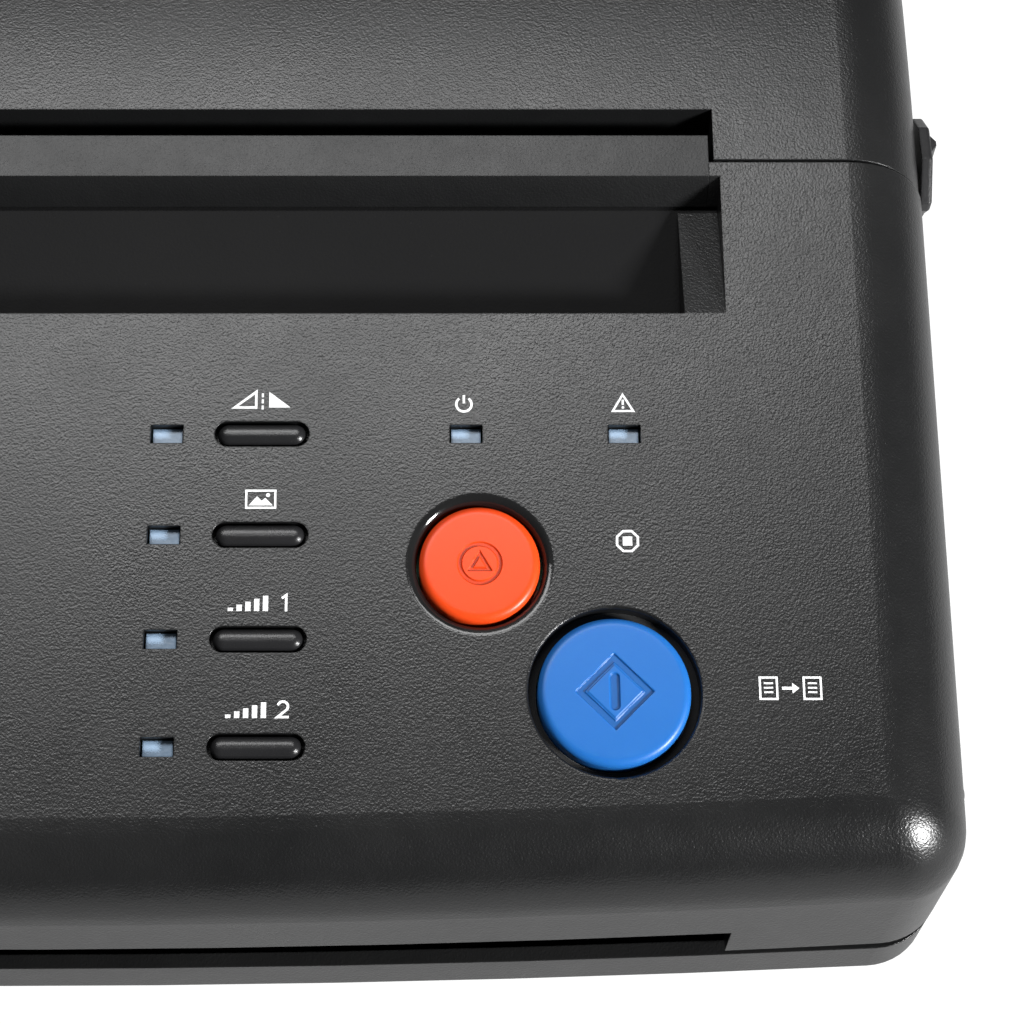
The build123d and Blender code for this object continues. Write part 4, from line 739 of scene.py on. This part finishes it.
stop_red = cap_plastic("stop_cap_orange_red", (0.76, 0.062, 0.008), 0.36, (1.0, 0.2, 0.1))
copy_blue = cap_plastic("copy_cap_blue", (0.014, 0.132, 0.44), 0.36, (0.1, 0.3, 1.0))
lens_milky = lamp_glass("lamp_lens_milky_blue")
glass_clear = clear_glass("sensor_cover_glass")
gap_shade_finish = rubber(
    "gap_shade_black", (0.004, 0.004, 0.004), 0.9, grain=0.0003, depth=0.00006, dust=0.02
)
foot_black = rubber("foot_rubber_black", (0.022, 0.022, 0.022), 0.72)
platen_grey = rubber("platen_rubber_grey", (0.05, 0.05, 0.054), 0.55, dust=0.2)
tyre_grey = rubber("tyre_rubber_grey", (0.1, 0.1, 0.108), 0.62, dust=0.2)
zinc_sheet = metal(
    "zinc_plated_sheet", (0.62, 0.64, 0.67), 0.36, (1.0, 1.0, 1.0), 0.003, 0.00001, 0.28
)
shaft_steel = metal("ground_shaft_steel", (0.7, 0.7, 0.72), 0.24, (1.0, 0.04, 0.04), 0.0004)
spring_steel = metal("spring_wire_steel", (0.5, 0.5, 0.52), 0.3, (1.0, 1.0, 0.2), 0.0002)
screw_steel = metal("screw_zinc_steel", (0.55, 0.56, 0.58), 0.32, (1.0, 1.0, 1.0), 0.0003)
motor_steel = metal("motor_can_steel", (0.55, 0.55, 0.54), 0.38, (1.0, 0.08, 0.08), 0.0005)
sink_aluminium = metal("heatsink_aluminium", (0.75, 0.76, 0.78), 0.34, (0.03, 1.0, 1.0), 0.0004)
ink_white = printed_ink("panel_ink_white")


main_seat = 0.009
board_face = main_seat + 0.0016
board_material = circuit_material("circuit_board_green", main_seat - 0.00002, board_face + 0.00002)
panel_board_material = circuit_material("panel_board_green", -1.0, 1.0, PANEL_SLOPE)
head_low, head_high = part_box("thermal_head")
head_ceramic = head_material("head_ceramic_strip", head_low.y, head_high.y)

SLOT_FINISH = {
    "case_plastic": case_black,
    "guide_plastic": guide_black,
    "key_plastic": key_satin,
    "stop_plastic": stop_red,
    "copy_plastic": copy_blue,
    "lamp_lens": lens_milky,
    "foot_rubber": foot_black,
    "roller_rubber": platen_grey,
    "tyre_rubber": tyre_grey,
    "plated_steel": zinc_sheet,
    "shaft_steel": shaft_steel,
    "spring_steel": spring_steel,
    "screw_steel": screw_steel,
    "gear_nylon": gear_white,
    "bush_acetal": bush_black,
    "heatsink": sink_aluminium,
    "head_ceramic": head_ceramic,
    "glass": glass_clear,
    "board_green": board_material,
    "motor_steel": motor_steel,
    "switch_black": switch_black,
}
NODE_FINISH = {
    "ridge_bar": case_smooth,
    "tact_switches": tact_black,
    "left_latch_lever": lever_satin,
    "right_latch_lever": lever_satin,
    "panel_board": panel_board_material,
}


def dress_nodes():
    """Gives every solid the finish of its slot, or its own."""
    for row in frame["record"]["subparts"]:
        node = frame["nodes"][row["node"]]
        finish = NODE_FINISH.get(row["node"], SLOT_FINISH[row["material_slot"]])
        node.data.materials.clear()
        node.data.materials.append(finish)


# ---- caps -------------------------------------------------------------------------------


def smooth_step(value, low, high):
    t = np.clip((value - low) / (high - low), 0.0, 1.0)
    return t * t * (3.0 - 2.0 * t)


def sunk_band(distance, low, high, depth, soft):
    """Depth of a groove between two distances, with soft shoulders."""
    return depth * smooth_step(distance, low - soft, low + soft) * (
        1.0 - smooth_step(distance, high - soft, high + soft)
    )


def polygon_distance(x, y, sides, turn):
    """Distance from the middle measured square to the sides of a regular polygon."""
    result = np.full_like(x, -1e9)
    for n in range(sides):
        angle = turn + 2.0 * math.pi * n / sides
        result = np.maximum(result, x * math.cos(angle) + y * math.sin(angle))
    return result


def stop_engraving(x, y):
    """Sunk ring with a sunk triangle outline inside it."""
    ring = sunk_band(np.hypot(x, y), 2.6, 3.2, 0.26, 0.06)
    triangle = polygon_distance(x, y + 0.1, 3, -math.pi / 2)
    return ring + sunk_band(triangle, 0.54, 1.02, 0.26, 0.06)


def copy_engraving(x, y):
    """Sunk diamond outline with an inner ledge, round a sunk upright bar."""
    diamond = (np.abs(x) + np.abs(y)) / math.sqrt(2.0)
    frame_depth = sunk_band(diamond, 3.0, 3.92, 0.3, 0.06)
    ledge = sunk_band(diamond, 2.72, 3.0, 0.12, 0.05)
    along = np.maximum(np.abs(y) - 2.0, 0.0)
    bar = np.hypot(x, along)
    return np.maximum(frame_depth, ledge) + 0.3 * (1.0 - smooth_step(bar, 0.55, 0.78))


def cap_profile(radius):
    """Radius and height of the cap's section from the middle of its top to its stem."""
    flat_end = radius - CAP_EDGE * 1.25
    rings = [(r, None) for r in np.arange(0.1, 6.0, 0.1)]
    rings += [(r, None) for r in np.linspace(6.0, flat_end, 8)]
    turn = np.linspace(0.0, math.pi / 2.0, 10)[1:]
    for angle in turn:
        r = flat_end + CAP_EDGE * 1.25 * math.sin(angle)
        rings.append((r, -0.07 - CAP_EDGE * 1.1 * (1.0 - math.cos(angle)) + CAP_RISE))
    inner = radius - CAP_WALL
    rings += [
        (radius, -2.6),
        (radius, -CAP_SKIRT + 0.25),
        (radius - 0.08, -CAP_SKIRT + 0.07),
        (radius - 0.25, -CAP_SKIRT),
    ]
    rings += [
        (inner + 0.25, -CAP_SKIRT), (inner + 0.05, -CAP_SKIRT + 0.1), (inner, -CAP_SKIRT + 0.4)
    ]
    rings += [(inner, CAP_ROOF - 0.5), (inner - 0.15, CAP_ROOF - 0.12), (inner - 0.5, CAP_ROOF)]
    rings += [
        (STEM_RADIUS + 0.5, CAP_ROOF),
        (STEM_RADIUS + 0.12, CAP_ROOF - 0.15),
        (STEM_RADIUS, CAP_ROOF - 0.5),
    ]
    rings += [(STEM_RADIUS, STEM_END + 0.25), (STEM_RADIUS - 0.2, STEM_END)]
    return rings, flat_end


def cap_piece(name, at, radius, hole_radius, engraving, finish):
    """A push cap: crowned engraved top, rounded rim, hollow skirt, stem and three lugs."""
    rings, flat_end = cap_profile(radius)
    turns = 240
    angles = np.arange(turns) * 2.0 * math.pi / turns
    cos_a = np.cos(angles)
    sin_a = np.sin(angles)
    middle = float(engraving(np.zeros(1), np.zeros(1))[0])
    points = [(0.0, 0.0, CAP_RISE - middle)]
    sunk = [middle]
    for r, height in rings:
        x = r * cos_a
        y = r * sin_a
        if height is None:
            groove = engraving(x, y)
            h = CAP_RISE - 0.07 * (r / flat_end) ** 2 - groove
        else:
            groove = np.zeros(turns)
            h = np.full(turns, height)
        points += list(zip(x, y, h))
        sunk += list(groove)
    points.append((0.0, 0.0, STEM_END))
    faces = [(0, 1 + n, 1 + (n + 1) % turns) for n in range(turns)]
    for k in range(len(rings) - 1):
        a = 1 + k * turns
        b = a + turns
        for n in range(turns):
            m = (n + 1) % turns
            faces.append((a + n, b + n, b + m, a + m))
    last = len(points) - 1
    a = 1 + (len(rings) - 1) * turns
    faces += [(a + n, last, a + (n + 1) % turns) for n in range(turns)]
    for lug in range(3):
        add_lug(points, faces, math.pi / 2 + lug * 2 * math.pi / 3, radius, hole_radius)
    mesh = bpy.data.meshes.new(name)
    mesh.from_pydata([on_panel(at[0] + x, at[1] + y, h) for x, y, h in points], [], faces)
    mesh.polygons.foreach_set("use_smooth", [len(f) < 8 for f in faces])
    mesh.set_sharp_from_angle(angle=math.radians(50))
    # Groove depth at each point; the cap material darkens the grooves by it as painted shade.
    depth = np.zeros(len(points))
    depth[: len(sunk)] = np.array(sunk) / max(sunk)
    mesh.attributes.new("sunk", "FLOAT", "POINT").data.foreach_set("value", depth)
    piece = bpy.data.objects.new(name, mesh)
    bpy.context.scene.collection.objects.link(piece)
    mesh.materials.append(finish)
    return piece


def add_lug(points, faces, angle, radius, hole_radius):
    """A bevelled lug on the skirt's lower edge that keeps the cap in its hole."""
    c = math.cos(angle)
    s = math.sin(angle)
    inner = radius - 0.5
    outer = hole_radius + LUG_REACH
    half = LUG_WIDTH / 2
    outline = [
        (inner, -half),
        (outer - 0.3, -half),
        (outer, -half + 0.3),
        (outer, half - 0.3),
        (outer - 0.3, half),
        (inner, half),
    ]
    start = len(points)
    count = len(outline)
    for height, pull in (
        (-CAP_SKIRT, 0.1), (-CAP_SKIRT + 0.12, 0.0), (LUG_TOP - 0.12, 0.0), (LUG_TOP, 0.1)
    ):
        for r, t in outline:
            grow = 1.0 - pull * (1.0 if r > inner else 0.0) / outer
            points.append(((r * c - t * s) * grow, (r * s + t * c) * grow, height))
    faces.append(tuple(start + n for n in reversed(range(count))))
    for layer in range(3):
        a = start + layer * count
        for n in range(count):
            m = (n + 1) % count
            faces.append((a + n, a + m, a + count + m, a + count + n))
    faces.append(tuple(start + 3 * count + n for n in range(count)))


def gap_shade_ring(name, at, inner, outer, top, bottom, finish):
    """A black felt-like ring in a cap's sleeve: painted shade that makes the gap round the cap read
    dark.
    """
    soft = 0.15
    section = [(inner, bottom + soft), (inner, top - soft), (inner + soft, top), (outer, top)]
    section += [(outer, bottom), (inner + soft, bottom)]
    turns = 144
    points = []
    faces = []
    count = len(section)
    for n in range(turns):
        angle = 2.0 * math.pi * n / turns
        for r, h in section:
            points.append(on_panel(at[0] + r * math.cos(angle), at[1] + r * math.sin(angle), h))
        for k in range(count):
            a = n * count + k
            b = n * count + (k + 1) % count
            step = count if n < turns - 1 else -n * count
            faces.append((a, b, b + step, a + step))
    mesh = bpy.data.meshes.new(name)
    mesh.from_pydata(points, [], faces)
    mesh.polygons.foreach_set("use_smooth", [True] * len(faces))
    mesh.set_sharp_from_angle(angle=math.radians(50))
    piece = bpy.data.objects.new(name, mesh)
    bpy.context.scene.collection.objects.link(piece)
    mesh.materials.append(finish)
    return piece


# ---- printed marks ----------------------------------------------------------------------


def offset_loop(points, distance):
    """A closed loop moved sideways by a distance, with mitred corners."""
    moved = []
    count = len(points)
    for n in range(count):
        before = Vector(points[n]) - Vector(points[n - 1])
        after = Vector(points[(n + 1) % count]) - Vector(points[n])
        before.normalize()
        after.normalize()
        normal = Vector((before.y + after.y, -before.x - after.x))
        length = normal.length
        normal.normalize()
        miter = distance / max(0.35, length / 2.0)
        moved.append((points[n][0] + normal.x * miter, points[n][1] + normal.y * miter))
    return moved


def closed_line(points, width):
    """Outline of a closed line as two loops, outer and inner."""
    return [offset_loop(points, width / 2), offset_loop(points, -width / 2)]


def open_line(points, width):
    """Outline of an open line as one loop."""
    left = []
    right = []
    count = len(points)
    for n in range(count):
        before = Vector(points[n]) - Vector(points[max(n - 1, 0)])
        after = Vector(points[min(n + 1, count - 1)]) - Vector(points[n])
        direction = (before.normalized() if before.length else after.normalized()) + (
            after.normalized() if after.length else before.normalized()
        )
        length = direction.length
        direction.normalize()
        reach = width / 2 / max(0.35, length / 2.0)
        left.append((points[n][0] - direction.y * reach, points[n][1] + direction.x * reach))
        right.append((points[n][0] + direction.y * reach, points[n][1] - direction.x * reach))
    return [right + left[::-1]]


def arc(centre, radius, start, end, steps=20):
    """Points along an arc, in degrees from the right, turning left."""
    result = []
    for n in range(steps + 1):
        angle = math.radians(start + (end - start) * n / steps)
        result.append((centre[0] + radius * math.cos(angle), centre[1] + radius * math.sin(angle)))
    return result


def circle(centre, radius, steps=40):
    return arc(centre, radius, 0.0, 360.0, steps)[:-1]


def box_loop(x0, y0, x1, y1):
    return [(x0, y0), (x1, y0), (x1, y1), (x0, y1)]


def printed_mark(
    name, shapes, at, finish, place=on_panel, thickness=PRINT_THICKNESS, lift=PRINT_LIFT
):
    """One printed mark: flat closed shapes a hair thick, lying on a face."""
    points = []
    faces = []
    for loops in shapes:
        start = len(points)
        flat = [p for loop in loops for p in loop]
        count = len(flat)
        for height in (lift, lift + thickness):
            points += [place(at[0] + x, at[1] + y, height) for x, y in flat]
        for a, b, c in tessellate_polygon(
            [[Vector((x, y, 0.0)) for x, y in loop] for loop in loops]
        ):
            leftward = (flat[b][0] - flat[a][0]) * (flat[c][1] - flat[a][1])
            rightward = (flat[b][1] - flat[a][1]) * (flat[c][0] - flat[a][0])
            if leftward - rightward < 0:
                b, c = c, b
            faces.append((start + count + a, start + count + b, start + count + c))
            faces.append((start + c, start + b, start + a))
        first = 0
        for loop in loops:
            size = len(loop)
            for n in range(size):
                m = first + (n + 1) % size
                k = first + n
                faces.append((start + k, start + m, start + count + m, start + count + k))
            first += size
    mesh = bpy.data.meshes.new(name)
    mesh.from_pydata(points, [], faces)
    mesh.update()
    piece = bpy.data.objects.new(name, mesh)
    bpy.context.scene.collection.objects.link(piece)
    mesh.materials.append(finish)
    return piece


def numeral_one(x):
    return [open_line([(x - 0.5, 0.75), (x + 0.12, 1.2), (x + 0.12, -1.2)], 0.36)]


def numeral_two(x):
    curve = arc((x, 0.5), 0.72, 165.0, -35.0, 14)
    return [open_line(curve + [(x - 0.75, -1.02), (x + 0.85, -1.02)], 0.36)]


def depth_wedge():
    """A wedge that grows from thin to full, for how dark the copy comes out."""
    shapes = []
    for n in range(5):
        x = -3.9 + 1.25 * n
        shapes.append([box_loop(x, -1.15, x + 0.75, -1.15 + 0.5 + 0.44 * n)])
    return shapes


def mirror_mark():
    left = [(-0.95, -1.2), (-0.95, 1.25), (-4.1, -1.2)]
    right = [(0.95, -1.2), (4.1, -1.2), (0.95, 1.25)]
    dashes = [[box_loop(-0.15, y, 0.15, y + 0.62)] for y in (-1.5, -0.55, 0.4)]
    return [closed_line(left[::-1], 0.36), [right]] + dashes


def photo_mark():
    border = closed_line(box_loop(-2.1, -1.3, 2.1, 1.3), 0.32)
    hill = [[(-1.75, -0.95), (-0.55, 0.45), (0.15, -0.25), (0.65, 0.2), (1.75, -0.95)]]
    sun = [circle((1.05, 0.62), 0.3, 20)]
    return [border, hill, sun]


def power_mark():
    ring = open_line(arc((0.0, -0.1), 1.12, 128.0, 412.0, 40), 0.36)
    stroke = open_line([(0.0, 0.05), (0.0, 1.32)], 0.36)
    return [ring, stroke]


def fault_mark():
    triangle = [(-1.5, -1.15), (1.5, -1.15), (0.0, 1.4)]
    stroke = [box_loop(-0.16, -0.2, 0.16, 0.62)]
    dot = [circle((0.0, -0.6), 0.2, 16)]
    return [closed_line(triangle, 0.3), stroke, dot]


def stop_mark():
    corners = [
        (
            1.62 * math.cos(math.radians(22.5 + 45 * n)),
            1.62 * math.sin(math.radians(22.5 + 45 * n)),
        ) for n in range(8)
    ]
    return [closed_line(corners, 0.34), [box_loop(-0.68, -0.68, 0.68, 0.68)]]


def copy_mark():
    """Two sheets with an arrow from one to the other."""
    first = closed_line(box_loop(-4.3, -1.5, -1.9, 1.6), 0.3)
    second = closed_line(box_loop(1.9, -1.5, 4.3, 1.6), 0.3)
    lines = [
        [
            box_loop(side - 0.65, y, side + 0.65, y + 0.24)
        ] for side in (-3.1, 3.1) for y in (-0.65, 0.0, 0.65)
    ]
    arrow = [
        [
            (-1.2, -0.16),
            (0.25, -0.16),
            (0.25, -0.72),
            (1.25, 0.05),
            (0.25, 0.82),
            (0.25, 0.26),
            (-1.2, 0.26),
        ]
    ]
    return [first, second, arrow] + lines


def make_marks():
    """Printed marks on the control panel, all generic pictograms and numerals."""
    rows = [
        ("mirror_mark", mirror_mark(), (44.1, 17.3)),
        ("photo_mark", photo_mark(), (44.1, 1.95)),
        ("depth_one_mark", depth_wedge() + numeral_one(4.3), (43.6, -13.7)),
        ("depth_two_mark", depth_wedge() + numeral_two(4.2), (43.6, -29.3)),
        ("power_mark", power_mark(), (73.6, 16.7)),
        ("fault_mark", fault_mark(), (96.9, 16.7)),
        ("stop_mark", stop_mark(), (97.0, -4.4)),
        ("copy_mark", copy_mark(), (119.4, -26.2)),
    ]
    for name, shapes, at in rows:
        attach(printed_mark(name, shapes, at, ink_white), "front_cover")


# ---- stage ------------------------------------------------------------------------------


def make_floor():
    """Pale studio floor: white where it is seen, and it keeps the machine's shadow."""
    mesh = bpy.data.meshes.new("studio_floor")
    edge = FLOOR_REACH
    corners = [(-edge, -edge, 0), (edge, -edge, 0), (edge, edge, 0), (-edge, edge, 0)]
    mesh.from_pydata(corners, [], [(0, 1, 2, 3)])
    floor = bpy.data.objects.new("studio_floor", mesh)
    floor.location = (0.0, 0.0, -FLOOR_DROP)
    bpy.context.scene.collection.objects.link(floor)
    material = bpy.data.materials.new("studio_floor_white")
    material.use_nodes = True
    material.node_tree.nodes.clear()
    w = Wiring(material.node_tree)
    path = w.add("ShaderNodeLightPath")
    mirrored = w.math("MAXIMUM", path.outputs["Is Glossy Ray"], path.outputs["Is Transmission Ray"])
    away = w.add("ShaderNodeVectorMath", {0: w.position()}, operation="LENGTH")
    fade = w.span(away.outputs["Value"], 0.2, 0.5, 0.5, 0.13)
    seen = w.math("MAXIMUM", path.outputs["Is Camera Ray"], w.math("MULTIPLY", mirrored, fade))
    shadow = w.add("ShaderNodeBsdfDiffuse", {"Color": (*[FLOOR_SHADOW] * 3, 1.0)})
    glow = w.add("ShaderNodeEmission", {"Color": (1.0, 1.0, 1.0, 1.0), "Strength": FLOOR_GLOW})
    lit = w.add("ShaderNodeAddShader", {0: shadow.outputs[0], 1: glow.outputs[0]})
    plain = w.add("ShaderNodeBsdfDiffuse", {"Color": (*[FLOOR_PLAIN] * 3, 1.0)})
    mix = w.add("ShaderNodeMixShader", {0: seen, 1: plain.outputs[0], 2: lit.outputs[0]})
    out = w.add("ShaderNodeOutputMaterial")
    w.set(out.inputs["Surface"], mix.outputs[0])
    mesh.materials.append(material)


def soft_light(name, target, way, distance, size, radiance):
    """A rectangular softbox that faces the target, set by the brightness of its face."""
    lamp = bpy.data.lights.new(name, "AREA")
    lamp.shape = "RECTANGLE"
    lamp.size, lamp.size_y = size
    lamp.energy = radiance * math.pi * size[0] * size[1]
    light = bpy.data.objects.new(name, lamp)
    way = Vector(way).normalized()
    light.location = Vector(target) + way * distance
    light.rotation_euler = (-way).to_track_quat("-Z", "Y").to_euler()
    bpy.context.scene.collection.objects.link(light)


def make_lights():
    """The softboxes and a dim white world."""
    for name, shift, way, distance, size, radiance in SOFTBOXES:
        target = Vector(LIT_MIDDLE) + Vector((shift, 0.0, 0.0))
        soft_light(name, target, way, distance, size, radiance)
    world = bpy.data.worlds.new("studio_dim")
    world.use_nodes = True
    surroundings = world.node_tree.nodes["Background"]
    surroundings.inputs["Color"].default_value = (1.0, 1.0, 1.0, 1.0)
    surroundings.inputs["Strength"].default_value = WORLD_STRENGTH
    bpy.context.scene.world = world


def make_camera():
    """The camera that looks down on the right half from the front."""
    data = bpy.data.cameras.new("front_view")
    data.sensor_width = SENSOR
    data.lens = LENS
    data.shift_x = LENS_SHIFT
    data.clip_start = 0.01
    data.clip_end = 200.0
    camera = bpy.data.objects.new("front_view", data)
    camera.location = CAMERA_AT
    camera.rotation_euler = (CAMERA_TILT, 0.0, 0.0)
    bpy.context.scene.collection.objects.link(camera)
    bpy.context.scene.camera = camera


dress_nodes()
stop_cap = cap_piece("stop_cap", STOP_AT, STOP_RADIUS, STOP_HOLE, stop_engraving, stop_red)
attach(stop_cap, "stop_button")
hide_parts("stop_button")
copy_cap = cap_piece("copy_cap", COPY_AT, COPY_RADIUS, COPY_HOLE, copy_engraving, copy_blue)
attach(copy_cap, "copy_button")
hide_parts("copy_button")
# Painted shade: a black ring sits in the COPY cap's gap so that the gap reads dark all round.
copy_gap_shade_ring = gap_shade_ring(
    "copy_gap_shade_ring", COPY_AT, COPY_RADIUS + SHADE_RING_GAP, COPY_HOLE, SHADE_RING_TOP, SHADE_RING_BOTTOM, gap_shade_finish
)
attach(copy_gap_shade_ring, "front_cover")
make_marks()
make_floor()
make_lights()
make_camera()
bpy.context.scene.view_settings.view_transform = "Standard"
